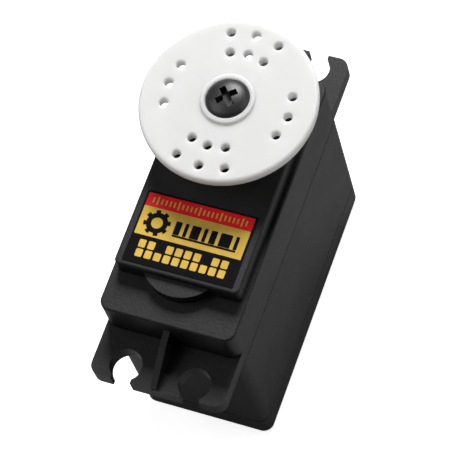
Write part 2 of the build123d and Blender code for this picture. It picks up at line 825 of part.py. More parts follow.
with BuildPart() as motor_front_bush:
    with BuildSketch(Plane.XY.offset(tray_bottom - can_plate)):
        with Locations((motor_x, 0)):
            Circle(bush_radius - fit_gap)
            Circle(motor_shaft_radius + fit_gap, mode=Mode.SUBTRACT)
    extrude(amount=hub_height + can_plate)

motor_front_bush.part.label = "motor_front_bush"
export_step(motor_front_bush.part, "parts/motor_front_bush.step")

cap_bottom = can_bottom - end_cap_flange
cap_top = can_bottom + end_cap_plug

with BuildPart() as motor_end_cap:
    with BuildSketch(Plane.XY.offset(cap_bottom)):
        with Locations((motor_x, 0)):
            Circle(can_radius)
    extrude(amount=end_cap_flange)
    with BuildSketch(Plane.XY.offset(can_bottom)):
        with Locations((motor_x, 0)):
            Circle(can_inner - fit_gap)
    extrude(amount=end_cap_plug)
    with BuildSketch(Plane.XY.offset(cap_bottom)):
        with Locations((motor_x, terminal_offset), (motor_x, -terminal_offset)):
            Rectangle(terminal_width + 2 * fit_gap, terminal_thickness + 2 * fit_gap)
        with Locations((motor_x, 0)):
            Circle(bush_radius)
    extrude(amount=end_cap_flange + end_cap_plug, mode=Mode.SUBTRACT)

motor_end_cap.part.label = "motor_end_cap"
export_step(motor_end_cap.part, "parts/motor_end_cap.step")

with BuildPart() as motor_rear_bush:
    with BuildSketch(Plane.XY.offset(cap_bottom)):
        with Locations((motor_x, 0)):
            Circle(bush_radius - fit_gap)
            Circle(motor_shaft_radius + fit_gap, mode=Mode.SUBTRACT)
    extrude(amount=end_cap_flange + end_cap_plug)

motor_rear_bush.part.label = "motor_rear_bush"
export_step(motor_rear_bush.part, "parts/motor_rear_bush.step")

core_z = can_bottom + (can_length - core_length) / 2
magnet_z = can_bottom + (can_length - magnet_length) / 2
magnet_outer = can_inner - fit_gap
magnet_inner = magnet_outer - magnet_thickness

with BuildPart() as motor_magnets:
    with BuildSketch(Plane.XY.offset(magnet_z)):
        with Locations((motor_x, 0)):
            Circle(magnet_outer)
            Circle(magnet_inner, mode=Mode.SUBTRACT)
            Rectangle(magnet_split, 2 * can_radius, mode=Mode.SUBTRACT)
    extrude(amount=magnet_length)

motor_magnets.part.label = "motor_magnets"
export_step(motor_magnets.part, "parts/motor_magnets.step")

with BuildPart() as motor_screws:
    screw_seat = tray_top - motor_screw_sink
    with BuildSketch(Plane.XY.offset(screw_seat)):
        with Locations((motor_x, motor_screw_offset), (motor_x, -motor_screw_offset)):
            Circle(motor_screw_head)
    extrude(amount=motor_screw_head_height)
    with BuildSketch(Plane.XY.offset(tray_bottom - can_plate)):
        with Locations((motor_x, motor_screw_offset), (motor_x, -motor_screw_offset)):
            Circle(motor_screw_radius)
    extrude(amount=screw_seat + motor_screw_head_height - tray_bottom + can_plate)
    with BuildSketch(Plane.XY.offset(screw_seat + motor_screw_head_height - motor_screw_recess)):
        with Locations((motor_x, motor_screw_offset), (motor_x, -motor_screw_offset)):
            Rectangle(motor_screw_head, recess_slot)
            Rectangle(recess_slot, motor_screw_head)
    extrude(amount=motor_screw_head_height, mode=Mode.SUBTRACT)

motor_screws.part.label = "motor_screws"
export_step(motor_screws.part, "parts/motor_screws.step")

# ---------------------------------------------------------------- motor rotor
core_radius = magnet_inner - air_gap
shaft_bottom = cap_bottom + fit_gap
shaft_top = second_wheel_z - 2 * hub_gap

with BuildPart() as motor_shaft:
    with BuildSketch(Plane.XY.offset(shaft_bottom)):
        with Locations((motor_x, 0)):
            Circle(motor_shaft_radius)
    extrude(amount=shaft_top - shaft_bottom)

motor_shaft.part.label = "motor_shaft"
export_step(motor_shaft.part, "parts/motor_shaft.step")

with BuildPart() as motor_pinion:
    with BuildSketch(Plane.XY.offset(first_wheel_z - hub_gap)):
        with Locations((motor_x, 0)):
            add(gear_face(motor_teeth, first_module, 0))
            Circle(motor_shaft_radius, mode=Mode.SUBTRACT)
    extrude(amount=first_wheel_thickness + 2 * hub_gap)

motor_pinion.part.label = "motor_pinion"
export_step(motor_pinion.part, "parts/motor_pinion.step")

with BuildPart() as armature_core:
    with BuildSketch(Plane.XY.offset(core_z)):
        with Locations((motor_x, 0)):
            Circle(core_radius)
            Circle(core_radius - pole_shoe, mode=Mode.SUBTRACT)
            with PolarLocations(core_radius, poles, start_angle=180 / poles):
                Rectangle(3 * pole_shoe, pole_slot, mode=Mode.SUBTRACT)
            Circle(core_hub)
            with PolarLocations((core_radius - pole_shoe / 2) / 2, poles):
                Rectangle(core_radius - pole_shoe / 2, pole_web)
            Circle(motor_shaft_radius, mode=Mode.SUBTRACT)
    extrude(amount=core_length)

armature_core.part.label = "armature_core"
export_step(armature_core.part, "parts/armature_core.step")

with BuildPart() as armature_windings:
    with Locations((motor_x, 0, core_z + core_length / 2)):
        with PolarLocations((coil_inner + coil_outer) / 2, poles):
            Box(coil_outer - coil_inner, coil_width, core_length + 2 * coil_overhang)
            Box(
                coil_outer,
                pole_web + 2 * fit_gap,
                core_length + 2 * fit_gap,
                mode=Mode.SUBTRACT,
            )

armature_windings.part.label = "armature_windings"
export_step(armature_windings.part, "parts/armature_windings.step")

commutator_z = cap_top + 2 * hub_gap
with BuildPart() as commutator:
    with BuildSketch(Plane.XY.offset(commutator_z)):
        with Locations((motor_x, 0)):
            Circle(commutator_radius)
            with PolarLocations(commutator_radius, poles):
                Rectangle(commutator_radius / 2, commutator_slot, mode=Mode.SUBTRACT)
            Circle(motor_shaft_radius, mode=Mode.SUBTRACT)
    extrude(amount=commutator_length)

commutator.part.label = "commutator"
export_step(commutator.part, "parts/commutator.step")

# brushes ride on the commutator; their leaves stand on the terminals, which reach the board
with BuildPart() as motor_brushes:
    for side in (-1, 1):
        with BuildSketch(Plane.XY.offset(commutator_z)):
            with Locations((motor_x, side * (commutator_radius + fit_gap + brush_length / 2))):
                Rectangle(terminal_width, brush_length)
        extrude(amount=commutator_length)
        leaf_inner = commutator_radius + fit_gap + brush_length
        leaf_outer = terminal_offset + terminal_thickness / 2
        with BuildSketch(Plane.XY.offset(cap_top)):
            with Locations((motor_x, side * (leaf_inner + leaf_outer) / 2)):
                Rectangle(terminal_width, leaf_outer - leaf_inner)
        extrude(amount=commutator_z + commutator_length - cap_top)

motor_brushes.part.label = "motor_brushes"
export_step(motor_brushes.part, "parts/motor_brushes.step")

with BuildPart() as motor_terminals:
    with BuildSketch(Plane.XY.offset(board_top)):
        with Locations((motor_x, terminal_offset), (motor_x, -terminal_offset)):
            Rectangle(terminal_width, terminal_thickness)
    extrude(amount=cap_top - board_top)

motor_terminals.part.label = "motor_terminals"
export_step(motor_terminals.part, "parts/motor_terminals.step")

# ---------------------------------------------------------------- position sensor
with BuildPart() as potentiometer_body:
    with BuildSketch(Plane.XY.offset(pot_z)):
        Circle(pot_radius)
        with Locations((pot_lead_offset, 0)):
            Rectangle(2 * (pot_radius - pot_lead_offset), 3 * pot_lead_spacing)
    extrude(amount=pot_height)
    fillet(potentiometer_body.faces().sort_by(Axis.Z)[0].edges(), edge_fillet)
    with BuildSketch(Plane.XY.offset(lower_boss_z)):
        Circle(pot_bushing_radius)
    extrude(amount=pot_bushing_height)
    with BuildSketch(Plane.XY.offset(pot_z + floor_thickness)):
        Circle(pot_shaft_radius + axle_gap)
    extrude(amount=pot_height, mode=Mode.SUBTRACT)

potentiometer_body.part.label = "potentiometer_body"
export_step(potentiometer_body.part, "parts/potentiometer_body.step")

socket_bottom = lower_bearing_z - 2 * hub_gap
with BuildPart() as potentiometer_shaft:
    with BuildSketch(Plane.XY.offset(pot_z + floor_thickness + hub_gap)):
        Circle(pot_shaft_radius)
    extrude(amount=socket_bottom + pot_shaft_reach - hub_gap - pot_z - floor_thickness - hub_gap)
    with BuildSketch(Plane.XY.offset(socket_bottom)):
        with Locations((pot_flat + pot_shaft_radius, 0)):
            Rectangle(2 * pot_shaft_radius, 3 * pot_shaft_radius)
    extrude(amount=pot_shaft_reach, mode=Mode.SUBTRACT)

potentiometer_shaft.part.label = "potentiometer_shaft"
export_step(potentiometer_shaft.part, "parts/potentiometer_shaft.step")

with BuildPart() as potentiometer_leads:
    with BuildSketch(Plane.XY.offset(board_top)):
        with Locations((pot_lead_offset, 0)):
            with GridLocations(0, pot_lead_spacing, 1, 3):
                Circle(pot_lead_radius)
    extrude(amount=pot_z - board_top)

potentiometer_leads.part.label = "potentiometer_leads"
export_step(potentiometer_leads.part, "parts/potentiometer_leads.step")

# ---------------------------------------------------------------- control board and its components
board_length = case_length - 2 * (wall + board_gap)
board_width = case_width - 2 * (wall + board_gap)
with BuildPart() as control_board:
    with BuildSketch(Plane.XY.offset(board_z)):
        with Locations((middle_x, 0)):
            Rectangle(board_length, board_width)
            with GridLocations(board_length, board_width, 2, 2):
                Rectangle(2 * board_notch, 2 * board_notch, mode=Mode.SUBTRACT)
    extrude(amount=board_thickness)

control_board.part.label = "control_board"
export_step(control_board.part, "parts/control_board.step")

with BuildPart() as controller_chip:
    with BuildSketch(Plane.XY.offset(board_top)):
        with Locations((chip_x, 0)):
            Rectangle(chip_size, chip_size)
    extrude(amount=chip_height)
    chamfer(controller_chip.faces().sort_by(Axis.Z)[-1].edges(), seam_chamfer)
    lead_pitch = chip_size / (chip_leads + 1)
    with BuildSketch(Plane.XY.offset(board_top)):
        with Locations((chip_x, 0)):
            with GridLocations(lead_pitch, 0, chip_leads, 1):
                Rectangle(chip_lead_width, chip_size + 2 * chip_lead_reach)
            with GridLocations(0, lead_pitch, 1, chip_leads):
                Rectangle(chip_size + 2 * chip_lead_reach, chip_lead_width)
    extrude(amount=chip_lead_width / 2)

controller_chip.part.label = "controller_chip"
export_step(controller_chip.part, "parts/controller_chip.step")

with BuildPart() as bridge_transistors:
    with BuildSketch(Plane.XY.offset(board_top)):
        with Locations((bridge_x, bridge_y), (bridge_x, -bridge_y)):
            Rectangle(bridge_length, bridge_width)
    extrude(amount=bridge_height)
    chamfer(bridge_transistors.faces().group_by(Axis.Z)[-1].edges(), seam_chamfer)

bridge_transistors.part.label = "bridge_transistors"
export_step(bridge_transistors.part, "parts/bridge_transistors.step")

with BuildPart() as filter_capacitor:
    with BuildSketch(Plane.XY.offset(board_top)):
        with Locations((capacitor_x, capacitor_y)):
            Circle(capacitor_radius)
    extrude(amount=capacitor_height)
    fillet(filter_capacitor.faces().sort_by(Axis.Z)[-1].edges(), edge_fillet)

filter_capacitor.part.label = "filter_capacitor"
export_step(filter_capacitor.part, "parts/filter_capacitor.step")

with BuildPart() as crystal:
    with BuildSketch(Plane.XY.offset(board_top)):
        with Locations((capacitor_x, -capacitor_y)):
            SlotOverall(crystal_length, crystal_width)
    extrude(amount=crystal_height)
    fillet(crystal.faces().sort_by(Axis.Z)[-1].edges(), edge_fillet / 2)

crystal.part.label = "crystal"
export_step(crystal.part, "parts/crystal.step")

with BuildPart() as chip_resistors:
    with BuildSketch(Plane.XY.offset(board_top)):
        with Locations((motor_x, 0)):
            with GridLocations(resistor_pitch, resistor_rows, 4, 2):
                Rectangle(resistor_length, resistor_width)
    extrude(amount=resistor_height)

chip_resistors.part.label = "chip_resistors"
export_step(chip_resistors.part, "parts/chip_resistors.step")

# ---------------------------------------------------------------- cable grommet
grommet_outer = front_x + grommet_reach
grommet_inner = front_x - wall - grommet_gap - grommet_flange_thickness
grommet_z = bottom_split + grommet_height / 2
with BuildPart() as cable_grommet:
    with BuildSketch(Plane.YZ.offset(grommet_inner)):
        with Locations((0, grommet_z)):
            Rectangle(grommet_width - 2 * grommet_gap, grommet_height - 2 * grommet_gap)
    extrude(amount=grommet_outer - grommet_inner)
    with BuildSketch(Plane.YZ.offset(grommet_inner)):
        with Locations((0, grommet_z + grommet_flange / 2)):
            Rectangle(grommet_width + 2 * grommet_flange, grommet_height + grommet_flange)
    extrude(amount=grommet_flange_thickness)
    with BuildSketch(Plane.YZ.offset(front_x + grommet_gap)):
        with Locations((0, grommet_z)):
            RectangleRounded(
                grommet_width + 2 * grommet_flange, grommet_height + grommet_flange, grommet_flange
            )
    extrude(amount=grommet_flange_thickness)
    fillet(cable_grommet.faces().sort_by(Axis.X)[-1].edges(), edge_fillet)
    with BuildSketch(Plane.YZ.offset(grommet_inner)):
        with Locations((0, grommet_z)):
            with GridLocations(wire_spacing, 0, 3, 1):
                Circle(wire_hole_radius)
    extrude(amount=grommet_outer - grommet_inner, mode=Mode.SUBTRACT)

cable_grommet.part.label = "cable_grommet"
export_step(cable_grommet.part, "parts/cable_grommet.step")

# ---------------------------------------------------------------- horn
horn_holes = [
    polar(radius, math.radians(horn_angle + base + fan))
    for base, radii in (
        (0, (horn_inner_ring, horn_outer_ring)),
        (180, (horn_inner_ring, horn_outer_ring)),
        (90, (horn_cross_ring,)),
        (270, (horn_cross_ring,)),
    )
    for radius in radii
    for fan in horn_fan
]

with BuildPart() as servo_horn:
    with BuildSketch(Plane.XY.offset(horn_disc_z)):
        Circle(horn_radius)
    extrude(amount=horn_thickness)
    fillet(servo_horn.edges(), horn_rim)
    with BuildSketch(Plane.XY.offset(horn_top)):
        Circle(head_pocket_radius + horn_ring_wall)
    extrude(amount=horn_ring_height)
    fillet(servo_horn.edges().group_by(Axis.Z)[-1], horn_ring_rim)
    with BuildSketch(Plane.XY.offset(horn_hub_z)):
        Circle(horn_hub_radius)
    extrude(amount=horn_hub_height)
    with BuildSketch(Plane.XY.offset(horn_hub_z)):
        add(spline_face(spline_fit))
    extrude(amount=spline_top + hub_gap - horn_hub_z, mode=Mode.SUBTRACT)
    with BuildSketch(Plane.XY.offset(spline_top)):
        Circle(screw_radius + screw_hole_gap)
    extrude(amount=ring_top - spline_top, mode=Mode.SUBTRACT)
    with BuildSketch(Plane.XY.offset(head_seat)):
        Circle(head_pocket_radius)
    extrude(amount=head_pocket_depth, mode=Mode.SUBTRACT)
    with BuildSketch(Plane.XY.offset(horn_disc_z)):
        with Locations(*horn_holes):
            Circle(horn_hole_radius)
    extrude(amount=horn_thickness, mode=Mode.SUBTRACT)
    with BuildSketch(Plane.XY.offset(horn_top)):
        with Locations(*horn_holes):
            Circle(horn_hole_radius + horn_hole_sink)
    extrude(amount=-horn_hole_sink, taper=45, mode=Mode.SUBTRACT)

servo_horn.part.label = "servo_horn"
export_step(servo_horn.part, "parts/servo_horn.step")

with BuildPart() as horn_screw:
    with BuildSketch(Plane.XY.offset(head_seat - screw_length)):
        Circle(screw_radius)
    extrude(amount=screw_length)
    with BuildSketch(Plane.XZ):
        with BuildLine():
            Polyline((0, head_seat + head_height), (0, head_seat), (head_radius, head_seat))
            Line((head_radius, head_seat), (head_radius, head_seat + head_rim))
            EllipticalCenterArc(
                (0, head_seat + head_rim), head_radius, head_height - head_rim, start_angle=0, arc_size=90
            )
        make_face()
    revolve(axis=Axis.Z)
    recess_z = head_seat + head_height - recess_depth
    with BuildSketch(Plane.XY.offset(recess_z)):
        with Locations(Location((0, 0), recess_angle)):
            Rectangle(recess_span, recess_width)
            Rectangle(recess_width, recess_span)
    extrude(amount=2 * recess_depth, mode=Mode.SUBTRACT)

horn_screw.part.label = "horn_screw"
export_step(horn_screw.part, "parts/horn_screw.step")
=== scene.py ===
import math

import bpy
from mathutils import Matrix, Vector


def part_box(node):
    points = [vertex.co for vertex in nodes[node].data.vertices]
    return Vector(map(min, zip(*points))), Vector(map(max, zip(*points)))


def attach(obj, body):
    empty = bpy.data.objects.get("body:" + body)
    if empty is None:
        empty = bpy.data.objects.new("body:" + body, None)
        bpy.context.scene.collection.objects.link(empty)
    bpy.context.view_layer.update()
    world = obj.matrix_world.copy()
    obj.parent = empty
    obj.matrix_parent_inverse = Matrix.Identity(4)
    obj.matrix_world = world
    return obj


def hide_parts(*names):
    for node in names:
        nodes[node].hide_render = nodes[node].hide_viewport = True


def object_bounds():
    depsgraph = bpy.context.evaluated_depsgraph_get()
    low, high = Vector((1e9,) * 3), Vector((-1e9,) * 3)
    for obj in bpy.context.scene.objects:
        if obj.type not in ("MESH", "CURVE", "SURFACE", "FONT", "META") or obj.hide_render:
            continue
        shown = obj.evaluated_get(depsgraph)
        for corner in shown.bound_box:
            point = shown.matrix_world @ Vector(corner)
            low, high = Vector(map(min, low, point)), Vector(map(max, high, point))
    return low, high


bl_info = {
    "name": "Servo motor with round horn",
    "version": (1, 0, 0),
    "blender": (4, 5, 0),
    "location": "3D View > Sidebar > Servo",
    "description": "Finishes, printed label and inner detail of a standard-size servo motor",
    "category": "Object",
}

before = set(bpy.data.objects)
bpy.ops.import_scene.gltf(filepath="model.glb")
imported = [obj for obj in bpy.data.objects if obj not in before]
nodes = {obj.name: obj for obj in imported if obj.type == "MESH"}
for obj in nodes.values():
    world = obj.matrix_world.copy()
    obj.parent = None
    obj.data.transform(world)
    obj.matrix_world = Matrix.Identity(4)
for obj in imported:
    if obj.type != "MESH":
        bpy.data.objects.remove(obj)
cad_low, cad_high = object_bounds()

MM = 0.001
ORIGIN = Vector((0, 0, 0))


# ---------------------------------------------------------------- settings
def colour(name, description, default):
    return bpy.props.FloatVectorProperty(
        name=name, description=description, default=default, subtype="COLOR", min=0.0, max=1.0
    )


def length(name, description, default):
    return bpy.props.FloatProperty(
        name=name, description=description, default=default, unit="LENGTH", subtype="DISTANCE"
    )


def angle(name, description, degrees):
    return bpy.props.FloatProperty(
        name=name, description=description, default=math.radians(degrees), unit="ROTATION"
    )


class StageSettings(bpy.types.PropertyGroup):
    aim: bpy.props.FloatVectorProperty(
        name="Aim",
        description="Point that the camera looks at",
        default=(-10.302 * MM, 0.153 * MM, 25.0 * MM),
        subtype="TRANSLATION",
    )
    distance: length("Distance", "From the aim to the camera", 359.434 * MM)
    azimuth: angle("Azimuth", "Direction of the camera round the shaft, from +X", -140.683)
    elevation: angle("Elevation", "Height of the camera above the horizon", 63.16)
    roll: angle("Roll", "Turn of the camera about its own axis", 21.665)
    lens: bpy.props.FloatProperty(
        name="Lens", description="Focal length of the camera", default=203.494,
        subtype="DISTANCE_CAMERA"
    )
    floor: colour("Floor", "Colour of the floor", (0.9, 0.9, 0.9))
    floor_size: length("Floor size", "Side of the square floor", 2.4)
    floor_glow: bpy.props.FloatProperty(
        name="Floor glow", description="Light given off by the pale floor", default=0.75, min=0.0
    )
    floor_bounce: bpy.props.FloatProperty(
        name="Floor bounce",
        description="Share of the light that the floor throws back at the servo",
        default=0.45,
        subtype="FACTOR",
    )
    sky: bpy.props.FloatProperty(
        name="Sky", description="Strength of the even light from all round", default=0.05, min=0.0
    )
    key: bpy.props.FloatProperty(
        name="Key light",
        description="Power of the large light beyond the horn",
        default=12.5,
        subtype="POWER",
    )
    side: bpy.props.FloatProperty(
        name="Side light", description="Power of the light beside the case", default=0.5,
        subtype="POWER"
    )
    top: bpy.props.FloatProperty(
        name="Top light", description="Power of the light overhead", default=1.1, subtype="POWER"
    )


class CaseSettings(bpy.types.PropertyGroup):
    plastic: colour("Plastic", "Black glass-filled nylon of the case", (0.006, 0.006, 0.0065))
    plastic_flow: colour("Flow marks", "Paler tone where the plastic flowed", (0.013, 0.013, 0.0135))
    # lighter edge tone of the case: partly rubbed plastic, partly a painted highlight where light catches
    # the edges
    plastic_edge_wear_and_highlight: colour("Rubbed edges", "Tone of the handled edges", (0.062, 0.062, 0.064))
    grain: length("Grain", "Size of the spark-eroded grain of the mould", 0.3 * MM)
    rubber: colour("Rubber", "Cable grommet", (0.012, 0.012, 0.013))
    screw: colour("Screws", "Zinc-plated case screws", (0.62, 0.62, 0.6))


class LabelSettings(bpy.types.PropertyGroup):
    film: colour("Film", "Black film of the label", (0.003, 0.003, 0.004))
    red: colour("Red", "Red band of the label", (0.84, 0.012, 0.021))
    gold: colour("Gold", "Gold band and gold marks", (0.71, 0.46, 0.075))
    margin: length("Margin", "Black edge left round the bands", 0.3 * MM)
    ink: length("Ink", "Thickness of one printed layer", 0.02 * MM)
    red_share: bpy.props.FloatProperty(
        name="Red share", description="Share of the label's length under red", default=0.215,
        subtype="FACTOR"
    )
    gold_share: bpy.props.FloatProperty(
        name="Gold share", description="Share of the label's length under gold", default=0.4,
        subtype="FACTOR"
    )


class HornSettings(bpy.types.PropertyGroup):
    nylon: colour("Nylon", "White nylon of the horn", (0.7, 0.7, 0.695))
    nylon_flow: colour("Flow marks", "Tone of the nylon's flow marks", (0.68, 0.68, 0.675))
    screw: colour("Horn screw", "Black oxide of the horn screw", (0.035, 0.035, 0.036))


class MotorSettings(bpy.types.PropertyGroup):
    wire: length("Wire", "Diameter of the enamelled wire", 0.32 * MM)
    web: length("Pole web", "Width of the core inside a coil", 1.8 * MM)
    coil_inner: length("Coil start", "From the shaft's axis to the first turn", 2.2 * MM)
    gap: length("Coil gap", "Left between a coil and the ends of the core", 0.02 * MM)
    coil_width: length("Coil width", "Width of a coil across its pole", 4.0 * MM)


# ---------------------------------------------------------------- building node trees
class Tree:
    """Short ways to add nodes to a tree. A value is a number, a colour or another node's socket."""

    def __init__(self, tree):
        self.tree = tree

    def feed(self, socket, value):
        if isinstance(value, bpy.types.NodeSocket):
            self.tree.links.new(value, socket)
        else:
            socket.default_value = value

    def add(self, kind, inputs=(), **settings):
        made = self.tree.nodes.new("ShaderNode" + kind)
        for key, value in settings.items():
            setattr(made, key, value)
        for key, value in dict(inputs).items():
            self.feed(made.inputs[key], value)
        return made

    def math(self, operation, first, second=0.0, clamp=False):
        return self.add("Math", {0: first, 1: second}, operation=operation, use_clamp=clamp).outputs[0]

    def blend(self, first, first_share, second, second_share, clamp=False):
        parts = [self.math("MULTIPLY", first, first_share), self.math("MULTIPLY", second, second_share)]
        return self.math("ADD", *parts, clamp)

    def product(self, *values):
        """All the values multiplied together, kept from 0 to 1."""
        made = values[0]
        for value in values[1:-1]:
            made = self.math("MULTIPLY", made, value)
        return self.math("MULTIPLY", made, values[-1], True)

    def vector(self, operation, first, second=(0, 0, 0)):
        return self.add("VectorMath", {0: first, 1: second}, operation=operation).outputs[0]

    def noise(self, vector, scale, detail=3.0, roughness=0.5):
        inputs = {"Vector": vector, "Scale": scale, "Detail": detail, "Roughness": roughness}
        return self.add("TexNoise", inputs).outputs[0]

    def cells(self, vector, scale, feature="F1"):
        return self.add("TexVoronoi", {"Vector": vector, "Scale": scale}, feature=feature).outputs[0]

    def remap(self, value, low, high, to_low=0.0, to_high=1.0):
        inputs = {"Value": value, "From Min": low, "From Max": high, "To Min": to_low, "To Max": to_high}
        return self.add("MapRange", inputs).outputs[0]

    def mix(self, mask, first, second):
        made = self.add("Mix", {"Factor": mask}, data_type="RGBA")
        self.feed(made.inputs["A"], first)
        self.feed(made.inputs["B"], second)
        return made.outputs["Result"]


def shader_group(name, inputs, outputs):
    """A new group with its number inputs and outputs: the tree, and its sockets by name."""
    tree = bpy.data.node_groups.new(name, "ShaderNodeTree")
    for label, default in inputs.items():
        kind = "NodeSocketVector" if label == "Vector" else "NodeSocketFloat"
        socket = tree.interface.new_socket(label, in_out="INPUT", socket_type=kind)
        if default is not None:
            socket.default_value = default
    for label in outputs:
        tree.interface.new_socket(label, in_out="OUTPUT", socket_type="NodeSocketFloat")
    way_in = tree.nodes.new("NodeGroupInput")
    way_out = tree.nodes.new("NodeGroupOutput")
    return Tree(tree), way_in.outputs, way_out.inputs


def in_millimetres(work, vector):
    return work.add("VectorMath", {0: vector, "Scale": 1 / MM}, operation="SCALE").outputs[0]


def pattern_group(name):
    """A surface pattern: Size is that of its features in millimetres. It gives a Shade and a Height."""
    work, given, result = shader_group(name, {"Vector": None, "Size": 0.2}, ("Shade", "Height"))
    place = in_millimetres(work, given["Vector"])
    scale = work.math("DIVIDE", 1.0, given["Size"])
    return work, place, scale, result


def moulded_grain():
    """Spark-eroded mould grain under broad flow marks."""
    work, place, scale, result = pattern_group("moulded_grain")
    fine = work.noise(place, scale, 4.0, 0.62)
    pits = work.cells(place, work.math("MULTIPLY", scale, 0.7))
    work.feed(result["Height"], work.blend(fine, 0.65, pits, 0.35))
    flow = work.remap(work.noise(place, 0.16, 3.0, 0.55), 0.35, 0.7)
    speckle = work.remap(fine, 0.35, 0.7)
    work.feed(result["Shade"], work.blend(flow, 0.45, speckle, 0.55, True))
    return work.tree


def smooth_moulding():
    """Polished mould face with faint sink and flow marks."""
    work, place, scale, result = pattern_group("smooth_moulding")
    ripple = work.noise(place, work.math("MULTIPLY", scale, 0.25), 2.0, 0.4)
    fine = work.noise(place, scale, 2.0, 0.5)
    work.feed(result["Height"], work.math("ADD", ripple, work.math("MULTIPLY", fine, 0.15)))
    work.feed(result["Shade"], work.remap(ripple, 0.32, 0.68))
    return work.tree


def turned_marks():
    """Lathe rings round the pattern's own Z axis, on flat faces and cylinders alike."""
    work, place, scale, result = pattern_group("turned_marks")
    parts = work.add("SeparateXYZ", {0: place}).outputs
    squares = [work.math("MULTIPLY", parts[k], parts[k]) for k in (0, 1)]
    radius = work.math("SQRT", work.math("ADD", *squares))
    rings = work.add("CombineXYZ", {0: radius, 1: 0.0, 2: parts[2]}).outputs[0]
    work.feed(result["Height"], work.noise(rings, scale, 4.0, 0.65))
    broad = work.noise(rings, work.math("MULTIPLY", scale, 0.4), 3.0, 0.6)
    work.feed(result["Shade"], work.remap(broad, 0.35, 0.65))
    return work.tree


def drawn_streaks():
    """Long streaks along Z, as on drawn tube and shaft."""
    work, place, scale, result = pattern_group("drawn_streaks")
    stretched = work.vector("MULTIPLY", place, (1.0, 1.0, 0.035))
    streak = work.noise(stretched, scale, 4.0, 0.6)
    bloom = work.noise(place, 0.35, 3.0, 0.6)
    work.feed(result["Height"], streak)
    work.feed(result["Shade"], work.remap(work.blend(streak, 0.5, bloom, 0.5), 0.35, 0.65))
    return work.tree


def sheet_stack():
    """Thin stamped sheets stacked along Z, each with a slightly different tone."""
    work, place, scale, result = pattern_group("sheet_stack")
    tall = work.add("SeparateXYZ", {0: place}).outputs[2]
    level = work.math("MULTIPLY", tall, scale)
    across = work.math("ABSOLUTE", work.math("SUBTRACT", work.math("FRACT", level), 0.5))
    sheet = work.add("CombineXYZ", {0: work.math("FLOOR", level), 1: 0.0, 2: 0.0}).outputs[0]
    work.feed(result["Height"], work.remap(across, 0.5, 0.34))
    tone = work.noise(sheet, 3.7, 0.0)
    rust = work.noise(place, 1.4, 4.0, 0.65)
    work.feed(result["Shade"], work.remap(work.blend(tone, 0.6, rust, 0.4), 0.3, 0.7))
    return work.tree


def pitted_body():
    """Sintered or cast surface with small pits."""
    work, place, scale, result = pattern_group("pitted_body")
    pits = work.remap(work.cells(place, scale), 0.05, 0.45)
    fine = work.noise(place, work.math("MULTIPLY", scale, 2.0), 3.0, 0.6)
    broad = work.noise(place, work.math("MULTIPLY", scale, 0.5), 4.0, 0.6)
    work.feed(result["Height"], work.blend(pits, 0.7, fine, 0.3))
    work.feed(result["Shade"], work.remap(broad, 0.35, 0.65))
    return work.tree


def glass_weave():
    """Plain-woven glass cloth showing through resin."""
    work, place, scale, result = pattern_group("glass_weave")
    parts = work.add("SeparateXYZ", {0: place}).outputs
    turns = [work.math("MULTIPLY", work.math("MULTIPLY", parts[k], scale), math.pi) for k in (0, 1)]
    weave = work.math("MULTIPLY", *[work.math("SINE", turn) for turn in turns])
    for label in ("Height", "Shade"):
        work.feed(result[label], work.remap(weave, -1.0, 1.0))
    return work.tree


def edge_wear_and_highlight():
    """Mask of the outer edges, broken up by noise: real edge wear, and on the case plastic partly a
    painted edge highlight. Width is in metres.
    """
    inputs = {"Vector": None, "Width": 0.2 * MM, "Amount": 1.0}
    work, given, result = shader_group("edge_wear_and_highlight", inputs, ("Mask",))
    place = in_millimetres(work, given["Vector"])
    round_off = work.add("Bevel", {"Radius": given["Width"]}, samples=6).outputs[0]
    flat = work.add("NewGeometry").outputs["Normal"]
    turn = work.add("VectorMath", {0: round_off, 1: flat}, operation="DOT_PRODUCT").outputs["Value"]
    edge = work.remap(work.math("SUBTRACT", 1.0, turn), 0.01, 0.16)
    broken = work.remap(work.noise(place, 1.1, 4.0, 0.65), 0.3, 0.62, 0.25, 1.0)
    work.feed(result["Mask"], work.product(edge, broken, given["Amount"]))
    return work.tree


def settled_dust():
    """Mask of fine dust on the faces that look up."""
    work, given, result = shader_group("settled_dust", {"Vector": None, "Amount": 0.1}, ("Mask",))
    place = in_millimetres(work, given["Vector"])
    up = work.add("SeparateXYZ", {0: work.add("NewGeometry").outputs["Normal"]}).outputs[2]
    facing = work.remap(up, 0.2, 1.0, 0.25, 1.0)
    specks = work.remap(work.noise(place, 5.5, 5.0, 0.75), 0.52, 0.72)
    clouds = work.remap(work.noise(place, 0.3, 3.0, 0.6), 0.3, 0.8)
    work.feed(result["Mask"], work.product(specks, clouds, facing, given["Amount"]))
    return work.tree


def fine_scuffs():
    """Mask of sparse hair-thin scratches."""
    work, given, result = shader_group("fine_scuffs", {"Vector": None, "Amount": 0.3}, ("Mask",))
    place = in_millimetres(work, given["Vector"])
    turned = work.add("VectorRotate", {"Vector": place, "Angle": 0.7}, rotation_type="Z_AXIS").outputs[0]
    warped = work.vector("MULTIPLY", turned, (0.5, 0.06, 0.5))
    lines = work.cells(warped, 2.4, "DISTANCE_TO_EDGE")
    thin = work.remap(lines, 0.012, 0.0)
    patches = work.remap(work.noise(place, 0.35, 2.0), 0.5, 0.62)
    work.feed(result["Mask"], work.product(thin, patches, given["Amount"]))
    return work.tree


PATTERNS = {}
DUST = (0.42, 0.41, 0.39)
WORN_POLISH = 0.08
SCUFF_ROUGHNESS = 0.15
DUST_ROUGHNESS = 0.3


def build_groups():
    for build in (
        moulded_grain, smooth_moulding, turned_marks, drawn_streaks, sheet_stack, pitted_body,
        glass_weave, edge_wear_and_highlight, settled_dust, fine_scuffs,
    ):
        PATTERNS[build.__name__] = build()


